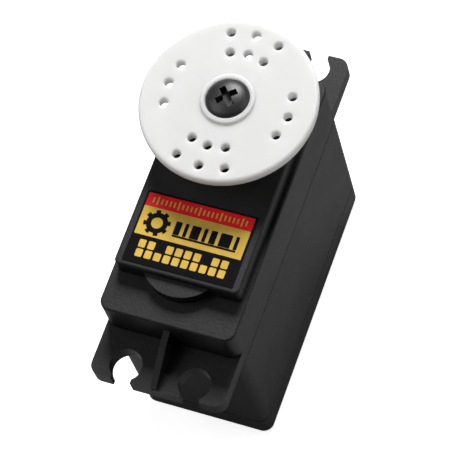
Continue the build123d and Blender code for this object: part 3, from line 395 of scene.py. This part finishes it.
def finish(name, base, tone, roughness, pattern, size, depth, metallic=0.0, wear=None, wear_width=0.15,
           wear_amount=1.0, dust=0.0, scuffs=0.0, centre=ORIGIN, turn=(0, 0, 0), **shader_values):
    """A material: a pattern mixes base with tone and sets the roughness, then come wear (on the case
    plastic partly a painted edge highlight), scuffs and dust.

    size is that of the pattern's features and depth that of its relief, both in millimetres. roughness is
    the pair of values at the pattern's two ends, and shader_values go straight to the shader's sockets.
    """
    material = bpy.data.materials.new(name)
    material.use_nodes = True
    work = Tree(material.node_tree)
    shader = material.node_tree.nodes["Principled BSDF"]
    spot = work.add("TexCoord").outputs["Object"]
    moves = {"Vector": spot, "Location": -Vector(centre), "Rotation": turn}
    placed = work.add("Mapping", moves).outputs[0]

    def grouped(group, **values):
        made = work.add("Group", node_tree=PATTERNS[group])
        work.feed(made.inputs["Vector"], placed)
        for key, value in values.items():
            made.inputs[key].default_value = value
        return made.outputs

    surface = grouped(pattern, Size=size)
    shade = work.mix(surface["Shade"], (*base, 1), (*tone, 1))
    rough = work.remap(surface["Shade"], 0.0, 1.0, *roughness)
    # lighter edges: real wear, and on the case plastic partly a painted edge highlight
    if wear:
        mask = grouped("edge_wear_and_highlight", Width=wear_width * MM, Amount=wear_amount)["Mask"]
        shade = work.mix(mask, shade, (*wear, 1))
        rough = work.math("SUBTRACT", rough, work.math("MULTIPLY", mask, WORN_POLISH))
    if scuffs:
        mask = grouped("fine_scuffs", Amount=scuffs)["Mask"]
        shade = work.mix(mask, shade, (*[min(1.0, part * 2 + 0.03) for part in base], 1))
        rough = work.math("ADD", rough, work.math("MULTIPLY", mask, SCUFF_ROUGHNESS))
    if dust:
        mask = grouped("settled_dust", Amount=dust)["Mask"]
        shade = work.mix(mask, shade, (*DUST, 1))
        rough = work.math("ADD", rough, work.math("MULTIPLY", mask, DUST_ROUGHNESS), True)
    work.feed(shader.inputs["Base Color"], shade)
    work.feed(shader.inputs["Roughness"], rough)
    bump = work.add("Bump", {"Height": surface["Height"], "Distance": depth * MM, "Strength": 1.0})
    work.feed(shader.inputs["Normal"], bump.outputs[0])
    shader.inputs["Metallic"].default_value = metallic
    for key, value in shader_values.items():
        shader.inputs[key.replace("_", " ")].default_value = value
    return material


def dress(material, *names):
    """Puts the material on CAD nodes."""
    for name in names:
        piece = nodes[name]
        if not piece.material_slots:
            piece.data.materials.append(material)
        for place in piece.material_slots:
            place.material = material


def middle_of(name):
    low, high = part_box(name)
    return (Vector(low) + Vector(high)) / 2


# ---------------------------------------------------------------- modelling as by hand
def deselect():
    if bpy.context.object and bpy.context.object.mode != "OBJECT":
        bpy.ops.object.mode_set(mode="OBJECT")
    bpy.ops.object.select_all(action="DESELECT")


def select_only(*pieces):
    deselect()
    for piece in pieces:
        piece.select_set(True)
    bpy.context.view_layer.objects.active = pieces[0]


def settle(piece):
    """Brings the object back to the origin, unturned and unscaled, with its place in its mesh."""
    select_only(piece)
    bpy.ops.object.transform_apply(location=True, rotation=True, scale=True)


def block(name, low, high):
    """A box between two corners, ready to be shaped."""
    low, high = Vector(low), Vector(high)
    deselect()
    bpy.ops.mesh.primitive_cube_add(size=1, location=(low + high) / 2, scale=high - low)
    piece = bpy.context.object
    piece.name = name
    piece.data.name = name
    settle(piece)
    return piece


def pick(piece, kind, test):
    """Leaves the piece in edit mode, with only what passes the test selected."""
    select_only(piece)
    bpy.ops.object.mode_set(mode="EDIT")
    bpy.ops.mesh.select_mode(type=kind)
    bpy.ops.mesh.select_all(action="DESELECT")
    bpy.ops.object.mode_set(mode="OBJECT")
    points = piece.data.vertices
    if kind == "VERT":
        for point in points:
            point.select = test(point.co)
    elif kind == "EDGE":
        for edge in piece.data.edges:
            edge.select = test(points[edge.vertices[0]].co, points[edge.vertices[1]].co)
    else:
        for face in piece.data.polygons:
            face.select = test(face.center, face.normal)
    bpy.ops.object.mode_set(mode="EDIT")


def leave_edit():
    bpy.ops.object.mode_set(mode="OBJECT")


def upright(first, second):
    return abs(first.x - second.x) + abs(first.y - second.y) < 1e-7


def copy_of(piece, name, move):
    """A copy with its own mesh, moved in its mesh."""
    select_only(piece)
    bpy.ops.object.duplicate(linked=False)
    made = bpy.context.object
    made.name = name
    made.data.name = name
    bpy.ops.transform.translate(value=move)
    settle(made)
    return made


def join(name, pieces):
    select_only(*pieces)
    if len(pieces) > 1:
        bpy.ops.object.join()
    made = bpy.context.object
    made.name = name
    made.data.name = name
    return made


def complete(piece, material, body, smooth=True):
    """Gives a finished piece its finish, its shading and the body that it moves with."""
    piece.data.materials.clear()
    piece.data.materials.append(material)
    if smooth:
        select_only(piece)
        bpy.ops.object.shade_smooth_by_angle(angle=math.radians(35))
    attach(piece, body)
    return piece


# ---------------------------------------------------------------- pieces
class SERVO_OT_case(bpy.types.Operator):
    """Finish the three case mouldings, the case screws and the cable grommet"""

    bl_idname = "servo.case"
    bl_label = "Case"

    def execute(self, context):
        look = context.scene.servo_case
        plastic = finish(
            "case_plastic", look.plastic, look.plastic_flow, (0.44, 0.56), "moulded_grain",
            look.grain / MM, 0.03,
            # the lighter edges here are partly rubbed plastic and partly a painted edge highlight
            wear=look.plastic_edge_wear_and_highlight, wear_width=0.12, wear_amount=0.35, dust=0.07, scuffs=0.12,
            Specular_IOR_Level=0.3,
        )
        dress(plastic, "top_case", "middle_case", "bottom_case")
        zinc = finish(
            "case_screw_zinc", look.screw, (0.5, 0.49, 0.45), (0.22, 0.42), "turned_marks", 0.07,
            0.002, metallic=1.0,
            centre=middle_of("case_screws"), wear=(0.8, 0.8, 0.78), wear_width=0.08,
        )
        dress(zinc, "case_screws")
        rubber = finish(
            "grommet_rubber", look.rubber, (0.024, 0.024, 0.025), (0.62, 0.8), "pitted_body", 0.14,
            0.006, wear=(0.04, 0.04, 0.04), dust=0.15,
        )
        dress(rubber, "cable_grommet")
        return {"FINISHED"}


class SERVO_OT_label(bpy.types.Operator):
    """Print the label's bands and plain marks"""

    bl_idname = "servo.label"
    bl_label = "Label"

    def execute(self, context):
        look = context.scene.servo_label
        film = finish(
            "label_film", look.film, (0.004, 0.004, 0.005), (0.5, 0.58), "smooth_moulding", 0.8,
            0.004, wear=(0.02, 0.02, 0.02), wear_width=0.05, scuffs=0.05, Specular_IOR_Level=0.05,
        )
        dress(film, "label")
        low, high = (Vector(corner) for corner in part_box("label"))
        reach = high.x - low.x
        red_end = high.x - reach * look.red_share
        gold_end = red_end - reach * look.gold_share
        left, right = low.y + look.margin, high.y - look.margin
        top = high.z

        red_ink = finish(
            "label_red_ink", look.red, [part * 0.92 for part in look.red], (0.46, 0.54),
            "smooth_moulding", 0.5, 0.002, scuffs=0.03, Specular_IOR_Level=0.15,
        )
        gold_ink = finish(
            "label_gold_ink", look.gold, [part * 0.86 for part in look.gold], (0.46, 0.56),
            "smooth_moulding", 0.4, 0.002, scuffs=0.03, Specular_IOR_Level=0.15,
        )
        black_ink = finish(
            "label_black_ink", look.film, (0.004, 0.004, 0.005), (0.46, 0.54), "smooth_moulding",
            0.4, 0.002, Specular_IOR_Level=0.05,
        )

        def printed(name, from_x, to_x, from_y, to_y, layer, corner):
            """A printed patch with rounded corners, sunk a quarter of its ink into the layer below."""
            base = top + look.ink * (layer - 0.25)
            patch = block(name, (from_x, from_y, base), (to_x, to_y, base + look.ink))
            pick(patch, "EDGE", upright)
            bpy.ops.mesh.bevel(offset=corner, segments=3)
            leave_edit()
            return patch

        red = printed("label_red_band", red_end, high.x - look.margin, left, right, 0, 0.08 * MM)
        complete(red, red_ink, "case")
        gold = printed("label_gold_band", gold_end, red_end, left, right, 0, 0.08 * MM)
        complete(gold, gold_ink, "case")

        # a scale of fine strokes across the red band
        red_middle = (red_end + high.x - look.margin) / 2
        scale_step = 0.62 * MM
        stroke_half = 0.11 * MM
        strokes = []
        for place in range(-11, 12):
            half = (0.62 if place % 5 == 0 else 0.4) * MM
            y = place * scale_step
            stroke = (red_middle - half, red_middle + half, y - stroke_half, y + stroke_half)
            strokes.append(printed("label_scale", *stroke, 1, 0.04 * MM))
        complete(join("label_scale", strokes), gold_ink, "case")

        # a cog wheel and a train of square pulses on the gold band
        gold_middle = (red_end + gold_end) / 2
        cog_centre = Vector((gold_middle, high.y - 2.9 * MM, top + look.ink * 0.75))
        cog_radius = 1.55 * MM
        cog_rim = 0.72 * MM
        cog_steps = 16
        deselect()
        bpy.ops.mesh.primitive_cylinder_add(
            vertices=3 * cog_steps, radius=cog_radius, depth=look.ink,
            location=cog_centre + Vector((0, 0, look.ink / 2)),
        )
        cog = bpy.context.object
        cog.name = "label_cog"
        settle(cog)

        def on_tooth(centre, normal):
            around = math.atan2(centre.y - cog_centre.y, centre.x - cog_centre.x)
            return abs(normal.z) < 0.5 and math.floor(around / math.tau * cog_steps) % 2 == 0

        def on_cap(centre, normal):
            return abs(normal.z) > 0.5 and (centre - cog_centre).xy.length < 0.3 * MM

        def at_hole(first, second):
            reach = cog_radius - cog_rim / 2
            return max((first - cog_centre).xy.length, (second - cog_centre).xy.length) < reach

        pick(cog, "FACE", on_tooth)
        bpy.ops.mesh.extrude_region_shrink_fatten(TRANSFORM_OT_shrink_fatten={"value": 0.38 * MM})
        leave_edit()
        pick(cog, "FACE", on_cap)
        bpy.ops.mesh.inset(thickness=cog_rim)
        bpy.ops.mesh.delete(type="FACE")
        leave_edit()
        pick(cog, "EDGE", at_hole)
        bpy.ops.mesh.bridge_edge_loops()
        leave_edit()
        complete(cog, black_ink, "case")

        pulses = []
        pulse_low, pulse_high = gold_middle - 1.0 * MM, gold_middle + 1.0 * MM
        rail_low, rail_high = pulse_low - 0.35 * MM, pulse_low - 0.05 * MM
        pulse_corner = 0.1 * MM
        first_y = y = cog_centre.y - 2.6 * MM
        pulse_gap = 0.5 * MM
        for wide in (0.9 * MM, 0.5 * MM, 1.3 * MM, 0.5 * MM, 0.9 * MM, 1.7 * MM, 0.5 * MM):
            last_y = y - wide
            pulses.append(printed("label_pulses", pulse_low, pulse_high, last_y, y, 1, pulse_corner))
            y = last_y - pulse_gap
        rail = printed("label_pulses", rail_low, rail_high, last_y, first_y, 1, pulse_corner)
        complete(join("label_pulses", [*pulses, rail]), black_ink, "case")

        # two rows of gauge segments on the black band
        black_middle = (gold_end + low.x + look.margin) / 2
        unlit = (2, 7)
        columns, column_step, column_width = 10, 1.34 * MM, 1.0 * MM
        lower_row, upper_row = (-1.3 * MM, -0.12 * MM), (0.12 * MM, 1.3 * MM)
        segments = []
        for column in range(columns):
            y = high.y - 1.5 * MM - column * column_step
            for row in (lower_row,) if column in unlit else (lower_row, upper_row):
                segment = (black_middle + row[0], black_middle + row[1], y - column_width, y)
                segments.append(printed("label_segments", *segment, 0, 0.16 * MM))
        complete(join("label_segments", segments), gold_ink, "case")
        return {"FINISHED"}


class SERVO_OT_horn(bpy.types.Operator):
    """Finish the round horn and its screw"""

    bl_idname = "servo.horn"
    bl_label = "Horn"

    def execute(self, context):
        look = context.scene.servo_horn
        nylon = finish(
            "horn_nylon", look.nylon, look.nylon_flow, (0.46, 0.54), "smooth_moulding", 1.2, 0.01,
            scuffs=0.02,
            dust=0.02, Subsurface_Weight=1.0, Subsurface_Radius=(1.0, 0.97, 0.94),
            Subsurface_Scale=2.4 * MM, Specular_IOR_Level=0.3,
        )
        dress(nylon, "servo_horn")
        oxide = finish(
            "horn_screw_oxide", look.screw, (0.045, 0.045, 0.045), (0.34, 0.46), "turned_marks",
            0.09, 0.003, metallic=0.5,
            wear=(0.3, 0.29, 0.28), wear_width=0.08, wear_amount=0.5,
            centre=middle_of("horn_screw"),
        )
        dress(oxide, "horn_screw")
        return {"FINISHED"}


class SERVO_OT_gears(bpy.types.Operator):
    """Finish the gear train, its axles and the two ball bearings"""

    bl_idname = "servo.gears"
    bl_label = "Gears and bearings"

    def execute(self, context):
        gear_steel = finish(
            "gear_steel", (0.46, 0.45, 0.43), (0.36, 0.35, 0.33), (0.24, 0.4), "turned_marks", 0.06,
            0.003, metallic=1.0, wear=(0.72, 0.71, 0.69), wear_width=0.06, scuffs=0.2,
        )
        for name in ("output_gear", "third_gear", "second_gear", "first_gear_pinion"):
            own = gear_steel.copy()
            own.name = name + "_steel"
            own.node_tree.nodes["Mapping"].inputs["Location"].default_value = -middle_of(name)
            dress(own, name)
        resin = finish(
            "gear_resin", (0.55, 0.5, 0.36), (0.62, 0.57, 0.43), (0.4, 0.5), "smooth_moulding", 0.6,
            0.006, scuffs=0.05, Subsurface_Weight=0.08, Subsurface_Scale=0.4 * MM,
        )
        dress(resin, "first_gear_wheel")
        axle = finish(
            "axle_steel", (0.66, 0.66, 0.67), (0.55, 0.55, 0.56), (0.14, 0.24), "drawn_streaks",
            0.05, 0.0015, metallic=1.0, wear=(0.8, 0.8, 0.8), wear_width=0.05,
        )
        dress(axle, "centre_axle", "second_gear_axle", "motor_shaft")
        race = finish(
            "race_steel", (0.6, 0.6, 0.61), (0.52, 0.52, 0.53), (0.12, 0.24), "turned_marks", 0.05,
            0.0012, metallic=1.0, wear=(0.8, 0.8, 0.8), wear_width=0.05,
        )
        dress(race, "upper_bearing_outer_race", "upper_bearing_inner_race")
        dress(race, "lower_bearing_outer_race", "lower_bearing_inner_race")
        shield = finish(
            "shield_steel", (0.5, 0.5, 0.5), (0.4, 0.4, 0.41), (0.28, 0.42), "turned_marks", 0.09,
            0.002, metallic=1.0,
        )
        dress(shield, "upper_bearing_shields")
        ball = finish(
            "ball_steel", (0.72, 0.72, 0.73), (0.66, 0.66, 0.67), (0.05, 0.1), "smooth_moulding",
            0.4, 0.0005, metallic=1.0,
        )
        dress(ball, "upper_bearing_balls", "lower_bearing_balls")
        return {"FINISHED"}


class SERVO_OT_motor(bpy.types.Operator):
    """Finish the motor"""

    bl_idname = "servo.motor"
    bl_label = "Motor"

    def execute(self, context):
        centre = middle_of("motor_can")
        can = finish(
            "can_steel", (0.5, 0.5, 0.48), (0.4, 0.4, 0.39), (0.26, 0.42), "drawn_streaks", 0.12,
            0.003, metallic=1.0, wear=(0.75, 0.75, 0.73), wear_width=0.12, scuffs=0.25,
        )
        dress(can, "motor_can")
        dress(
            finish(
                "end_cap_plastic", (0.018, 0.018, 0.02), (0.03, 0.03, 0.032), (0.42, 0.55),
                "moulded_grain", 0.12, 0.006, wear=(0.07, 0.07, 0.07),
            ),
            "motor_end_cap",
        )
        dress(
            finish(
                "bush_bronze", (0.42, 0.24, 0.09), (0.3, 0.16, 0.06), (0.34, 0.52), "pitted_body",
                0.08, 0.004, metallic=1.0, centre=centre,
            ),
            "motor_front_bush", "motor_rear_bush",
        )
        dress(
            finish(
                "magnet_ferrite", (0.035, 0.034, 0.035), (0.06, 0.057, 0.055), (0.55, 0.72),
                "pitted_body", 0.12, 0.006, wear=(0.12, 0.11, 0.1),
            ),
            "motor_magnets",
        )
        dress(
            finish(
                "core_sheets", (0.36, 0.36, 0.37), (0.25, 0.24, 0.24), (0.3, 0.46), "sheet_stack",
                0.5, 0.02, metallic=1.0, centre=centre, wear=(0.55, 0.55, 0.55), wear_width=0.06,
            ),
            "armature_core",
        )
        dress(
            finish(
                "copper_segments", (0.62, 0.29, 0.15), (0.48, 0.2, 0.1), (0.24, 0.4),
                "turned_marks", 0.05, 0.002,
                metallic=1.0, centre=centre, wear=(0.8, 0.45, 0.28), wear_width=0.05,
            ),
            "commutator", "motor_brushes",
        )
        dress(
            finish(
                "tinned_terminal", (0.58, 0.56, 0.52), (0.46, 0.44, 0.4), (0.26, 0.4),
                "drawn_streaks", 0.08, 0.002, metallic=1.0, wear=(0.75, 0.74, 0.7), wear_width=0.05,
            ),
            "motor_terminals", "potentiometer_leads",
        )
        dress(
            finish(
                "motor_screw_steel", (0.1, 0.1, 0.1), (0.16, 0.155, 0.15), (0.3, 0.42),
                "turned_marks", 0.06, 0.002, metallic=0.9, wear=(0.4, 0.39, 0.38), wear_width=0.06,
            ),
            "motor_screws",
        )
        dress(
            finish(
                "pinion_brass", (0.72, 0.5, 0.18), (0.6, 0.4, 0.14), (0.2, 0.34), "turned_marks",
                0.05, 0.002, metallic=1.0, centre=centre, wear=(0.9, 0.7, 0.35), wear_width=0.05,
            ),
            "motor_pinion",
        )
        return {"FINISHED"}


class SERVO_OT_coils(bpy.types.Operator):
    """Wind the three coils of the armature, in place of the plain coil blocks"""

    bl_idname = "servo.coils"
    bl_label = "Armature coils"

    def execute(self, context):
        look = context.scene.servo_motor
        shaft = middle_of("motor_shaft")
        low, high = (Vector(corner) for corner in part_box("armature_windings"))
        core_low, core_high = (Vector(corner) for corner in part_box("armature_core"))
        middle_z = (low.z + high.z) / 2
        wire = look.wire
        # the pole at +X: its coil spans this far from the shaft, and reaches this far to each side
        inner, outer = look.coil_inner, high.x - shaft.x
        side, tall = look.coil_width / 2, (high.z - low.z) / 2
        corner = side - look.web / 2
        turns = int((outer - inner) / wire)
        pitch = (outer - inner) / turns
        enamel = finish(
            "coil_enamel", (0.5, 0.16, 0.05), (0.38, 0.11, 0.035), (0.2, 0.32), "drawn_streaks",
            0.2, 0.004, metallic=0.85, centre=shaft, Coat_Weight=0.5,
        )

        middle = Vector((shaft.x + inner + pitch / 2, shaft.y, middle_z))

        def spread(piece, axis, reach):
            """Moves the two halves of the piece apart along one axis, each by reach."""
            for sign in (-1, 1):
                pick(piece, "VERT", lambda point: (point[axis] - middle[axis]) * sign > 0)
                move = Vector((0, 0, 0))
                move[axis] = sign * reach
                bpy.ops.transform.translate(value=move)
                leave_edit()

        deselect()
        segments = 16
        bpy.ops.mesh.primitive_torus_add(
            major_segments=segments, minor_segments=6, major_radius=corner - wire / 2,
            minor_radius=wire / 2, location=ORIGIN, rotation=(0, 0, math.pi / segments),
        )
        turn = context.object
        settle(turn)
        turn.rotation_euler.y = math.radians(90)
        turn.location = middle
        settle(turn)
        spread(turn, 1, side - corner)
        spread(turn, 2, tall - corner)
        loops = [turn]
        for number in range(1, turns):
            loops.append(copy_of(turn, "coil_turn", (number * pitch, 0, 0)))
        body = Vector((0, side - wire / 2, tall - wire / 2))
        filler = block(
            "coil_filler", middle - body + Vector(((wire - pitch) / 2, 0, 0)),
            middle + body + Vector(((turns - 0.5) * pitch - wire / 2, 0, 0)),
        )
        pick(filler, "EDGE", lambda first, second: abs(first.x - second.x) > wire)
        bpy.ops.mesh.bevel(offset=corner - wire, segments=3)
        leave_edit()
        hole_tall = (core_high.z - core_low.z) / 2 + look.gap
        wall = body.z - hole_tall
        pick(filler, "FACE", lambda centre, normal: abs(normal.x) > 0.9)
        bpy.ops.mesh.inset(thickness=wall, use_individual=True)
        bpy.ops.mesh.delete(type="FACE")
        leave_edit()

        def in_hole(point):
            reach = point - middle
            return abs(reach.y) < body.y - wall + wire / 4 and abs(reach.z) < hole_tall + wire / 4

        pick(filler, "EDGE", lambda first, second: in_hole(first) and in_hole(second))
        bpy.ops.mesh.bridge_edge_loops()
        bpy.ops.mesh.select_all(action="SELECT")
        bpy.ops.mesh.normals_make_consistent(inside=False)
        leave_edit()
        coil = join("coil_1", [filler, *loops])
        coils = [coil]
        for number in (1, 2):
            made = copy_of(coil, "coil_%d" % (number + 1), (0, 0, 0))
            select_only(made)
            bpy.ops.object.mode_set(mode="EDIT")
            bpy.ops.mesh.select_all(action="SELECT")
            bpy.ops.transform.rotate(
                value=-number * math.tau / 3, orient_axis="Z",
                center_override=(shaft.x, shaft.y, middle_z)
            )
            leave_edit()
            coils.append(made)
        for coil in coils:
            complete(coil, enamel, "rotor")
        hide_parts("armature_windings")
        return {"FINISHED"}


class SERVO_OT_cages(bpy.types.Operator):
    """Make the two cages that hold the bearings' balls apart"""

    bl_idname = "servo.cages"
    bl_label = "Ball cages"

    def execute(self, context):
        bronze = finish(
            "cage_bronze", (0.5, 0.3, 0.11), (0.4, 0.23, 0.08), (0.26, 0.4), "turned_marks", 0.06,
            0.002, metallic=1.0, wear=(0.8, 0.58, 0.3), wear_width=0.04,
        )
        ball_count = 8
        wall, end_band, play = 0.32 * MM, 0.3 * MM, 0.05 * MM
        for place in ("upper", "lower"):
            low, high = (Vector(corner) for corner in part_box(place + "_bearing_balls"))
            radius = (high.z - low.z) / 2
            track = high.x - radius
            centre = (low + high) / 2
            deselect()
            bpy.ops.mesh.primitive_cylinder_add(
                vertices=100, radius=track + wall / 2, depth=2 * (radius + end_band),
                location=centre, end_fill_type="NGON",
            )
            cage = context.object
            cage.name = place + "_bearing_cage"
            settle(cage)
            pick(cage, "FACE", lambda middle, normal: abs(normal.z) > 0.9)
            bpy.ops.mesh.inset(thickness=wall, use_individual=True)
            bpy.ops.mesh.delete(type="FACE")
            leave_edit()
            pick(cage, "EDGE", lambda first, second: max(first.xy.length, second.xy.length) < track)
            bpy.ops.mesh.bridge_edge_loops()
            bpy.ops.mesh.select_all(action="SELECT")
            bpy.ops.mesh.normals_make_consistent(inside=False)
            leave_edit()
            pockets = []
            for number in range(ball_count):
                around = number * math.tau / ball_count
                deselect()
                bpy.ops.mesh.primitive_uv_sphere_add(
                    segments=24, ring_count=12, radius=radius + play,
                    location=centre + Vector((math.cos(around), math.sin(around), 0)) * track,
                )
                pockets.append(context.object)
            cutter = join("pockets", pockets)
            settle(cutter)
            cut = cage.modifiers.new("pockets", "BOOLEAN")
            cut.operation = "DIFFERENCE"
            cut.solver = "EXACT"
            cut.object = cutter
            select_only(cage)
            bpy.ops.object.modifier_apply(modifier=cut.name)
            bpy.data.objects.remove(cutter)
            pick(cage, "FACE", lambda middle, normal: True)
            bpy.ops.mesh.dissolve_degenerate(threshold=1e-7)
            leave_edit()
            own = bronze.copy()
            own.node_tree.nodes["Mapping"].inputs["Location"].default_value = -centre
            complete(cage, own, place + "_ball_ring")
        return {"FINISHED"}


class SERVO_OT_sensor(bpy.types.Operator):
    """Finish the position sensor"""

    bl_idname = "servo.sensor"
    bl_label = "Position sensor"

    def execute(self, context):
        dress(
            finish(
                "sensor_case", (0.03, 0.06, 0.12), (0.045, 0.08, 0.15), (0.4, 0.52),
                "moulded_grain", 0.14, 0.006, wear=(0.12, 0.16, 0.24), dust=0.05,
            ),
            "potentiometer_body",
        )
        dress(
            finish(
                "sensor_shaft", (0.62, 0.62, 0.58), (0.55, 0.55, 0.51), (0.34, 0.44),
                "smooth_moulding", 0.5, 0.004, Subsurface_Weight=0.06, Subsurface_Scale=0.4 * MM,
            ),
            "potentiometer_shaft",
        )
        return {"FINISHED"}


class SERVO_OT_board(bpy.types.Operator):
    """Finish the control board and what is soldered to it"""

    bl_idname = "servo.board"
    bl_label = "Control board"

    def execute(self, context):
        dress(
            finish(
                "board_laminate", (0.01, 0.075, 0.03), (0.016, 0.11, 0.045), (0.3, 0.42),
                "glass_weave", 0.45, 0.004,
                wear=(0.35, 0.32, 0.14), wear_width=0.12, Coat_Weight=0.35,
            ),
            "control_board",
        )
        dress(
            finish(
                "chip_epoxy", (0.02, 0.02, 0.021), (0.034, 0.034, 0.035), (0.42, 0.58),
                "pitted_body", 0.07, 0.003, wear=(0.07, 0.07, 0.07), wear_width=0.06,
            ),
            "controller_chip", "bridge_transistors",
        )
        dress(
            finish(
                "resistor_ceramic", (0.05, 0.05, 0.055), (0.5, 0.5, 0.48), (0.3, 0.5),
                "pitted_body", 0.5, 0.003, wear=(0.6, 0.6, 0.58), wear_width=0.12,
            ),
            "chip_resistors",
        )
        dress(
            finish(
                "crystal_can", (0.62, 0.62, 0.61), (0.52, 0.52, 0.5), (0.18, 0.3), "drawn_streaks",
                0.09, 0.002, metallic=1.0, wear=(0.8, 0.8, 0.78), wear_width=0.1,
            ),
            "crystal",
        )
        dress(
            finish(
                "capacitor_sleeve", (0.012, 0.02, 0.075), (0.02, 0.03, 0.1), (0.24, 0.36),
                "smooth_moulding", 0.6, 0.006, wear=(0.1, 0.12, 0.2),
            ),
            "filter_capacitor",
        )
        return {"FINISHED"}


def direction(azimuth, elevation):
    level = math.cos(elevation)
    return Vector((level * math.cos(azimuth), level * math.sin(azimuth), math.sin(elevation)))


class SERVO_OT_stage(bpy.types.Operator):
    """Set up the pale floor, the soft lights and the camera"""

    bl_idname = "servo.stage"
    bl_label = "Stage"

    def execute(self, context):
        look = context.scene.servo_stage
        aim = Vector(look.aim)
        deselect()
        floor_place = (aim.x, aim.y, cad_low.z - 0.05 * MM)
        bpy.ops.mesh.primitive_plane_add(size=look.floor_size, location=floor_place)
        floor = context.object
        floor.name = "floor"
        paint = bpy.data.materials.new("floor_paint")
        paint.use_nodes = True
        shader = paint.node_tree.nodes["Principled BSDF"]
        shader.inputs["Base Color"].default_value = (*look.floor, 1)
        shader.inputs["Roughness"].default_value = 0.9
        shader.inputs["Emission Color"].default_value = (1, 1, 1, 1)
        shader.inputs["Emission Strength"].default_value = look.floor_glow
        work = Tree(paint.node_tree)
        dull = work.add("BsdfDiffuse", {"Color": (*[look.floor_bounce] * 3, 1)}).outputs[0]
        seen = work.add("LightPath").outputs["Is Camera Ray"]
        shown = work.add("MixShader", {0: seen, 1: dull, 2: shader.outputs[0]}).outputs[0]
        work.feed(paint.node_tree.nodes["Material Output"].inputs["Surface"], shown)
        floor.data.materials.append(paint)

        world = bpy.data.worlds.new("studio")
        world.use_nodes = True
        world.node_tree.nodes["Background"].inputs["Color"].default_value = (1, 1, 1, 1)
        world.node_tree.nodes["Background"].inputs["Strength"].default_value = look.sky
        context.scene.world = world
        context.scene.view_settings.view_transform = "Standard"

        for name, power, azimuth, elevation, distance, size in (
            ("key_light", look.key, 8, 44, 1.0, 0.42),
            ("side_light", look.side, -70, 30, 0.5, 0.3),
            ("top_light", look.top, 112, 52, 0.6, 0.4),
        ):
            away = direction(math.radians(azimuth), math.radians(elevation))
            bpy.ops.object.light_add(
                type="AREA", location=aim + away * distance,
                rotation=away.to_track_quat("Z", "Y").to_euler()
            )
            light = context.object
            light.name = name
            light.data.size = size
            light.data.energy = power

        towards = direction(look.azimuth, look.elevation)
        level = Vector((0, 0, 1)).cross(towards).normalized()
        upward = towards.cross(level)
        up = upward * math.cos(look.roll) + level * math.sin(look.roll)
        pose = Matrix((up.cross(towards), up, towards)).transposed()
        bpy.ops.object.camera_add(location=aim + towards * look.distance, rotation=pose.to_euler())
        camera = context.object
        camera.name = "camera"
        camera.data.lens = look.lens
        camera.data.sensor_width = 36.0
        camera.data.clip_start = 0.01
        context.scene.camera = camera
        deselect()
        return {"FINISHED"}


# ---------------------------------------------------------------- add-on
OPERATORS = (
    SERVO_OT_case, SERVO_OT_label, SERVO_OT_horn, SERVO_OT_gears, SERVO_OT_cages, SERVO_OT_motor,
    SERVO_OT_coils, SERVO_OT_sensor, SERVO_OT_board, SERVO_OT_stage,
)
SETTINGS = {
    "servo_case": CaseSettings,
    "servo_label": LabelSettings,
    "servo_horn": HornSettings,
    "servo_motor": MotorSettings,
    "servo_stage": StageSettings,
}


class SERVO_PT_panel(bpy.types.Panel):
    """Lists the servo's pieces and their settings"""

    bl_idname = "SERVO_PT_panel"
    bl_label = "Servo motor"
    bl_space_type = "VIEW_3D"
    bl_region_type = "UI"
    bl_category = "Servo"

    def draw(self, context):
        for operator in OPERATORS:
            self.layout.operator(operator.bl_idname)
        for name, group in SETTINGS.items():
            box = self.layout.box()
            for key in group.__annotations__:
                box.prop(getattr(context.scene, name), key)


def register():
    for group in SETTINGS.values():
        bpy.utils.register_class(group)
    for name, group in SETTINGS.items():
        setattr(bpy.types.Scene, name, bpy.props.PointerProperty(type=group))
    for item in (*OPERATORS, SERVO_PT_panel):
        bpy.utils.register_class(item)


def unregister():
    for item in reversed((*OPERATORS, SERVO_PT_panel)):
        bpy.utils.unregister_class(item)
    for name, group in SETTINGS.items():
        delattr(bpy.types.Scene, name)
        bpy.utils.unregister_class(group)


def main():
    register()
    build_groups()
    bpy.ops.servo.case()
    bpy.ops.servo.label()
    bpy.ops.servo.horn()
    bpy.ops.servo.gears()
    bpy.ops.servo.cages()
    bpy.ops.servo.motor()
    bpy.ops.servo.coils()
    bpy.ops.servo.sensor()
    bpy.ops.servo.board()
    bpy.ops.servo.stage()


if __name__ == "__main__":
    main()
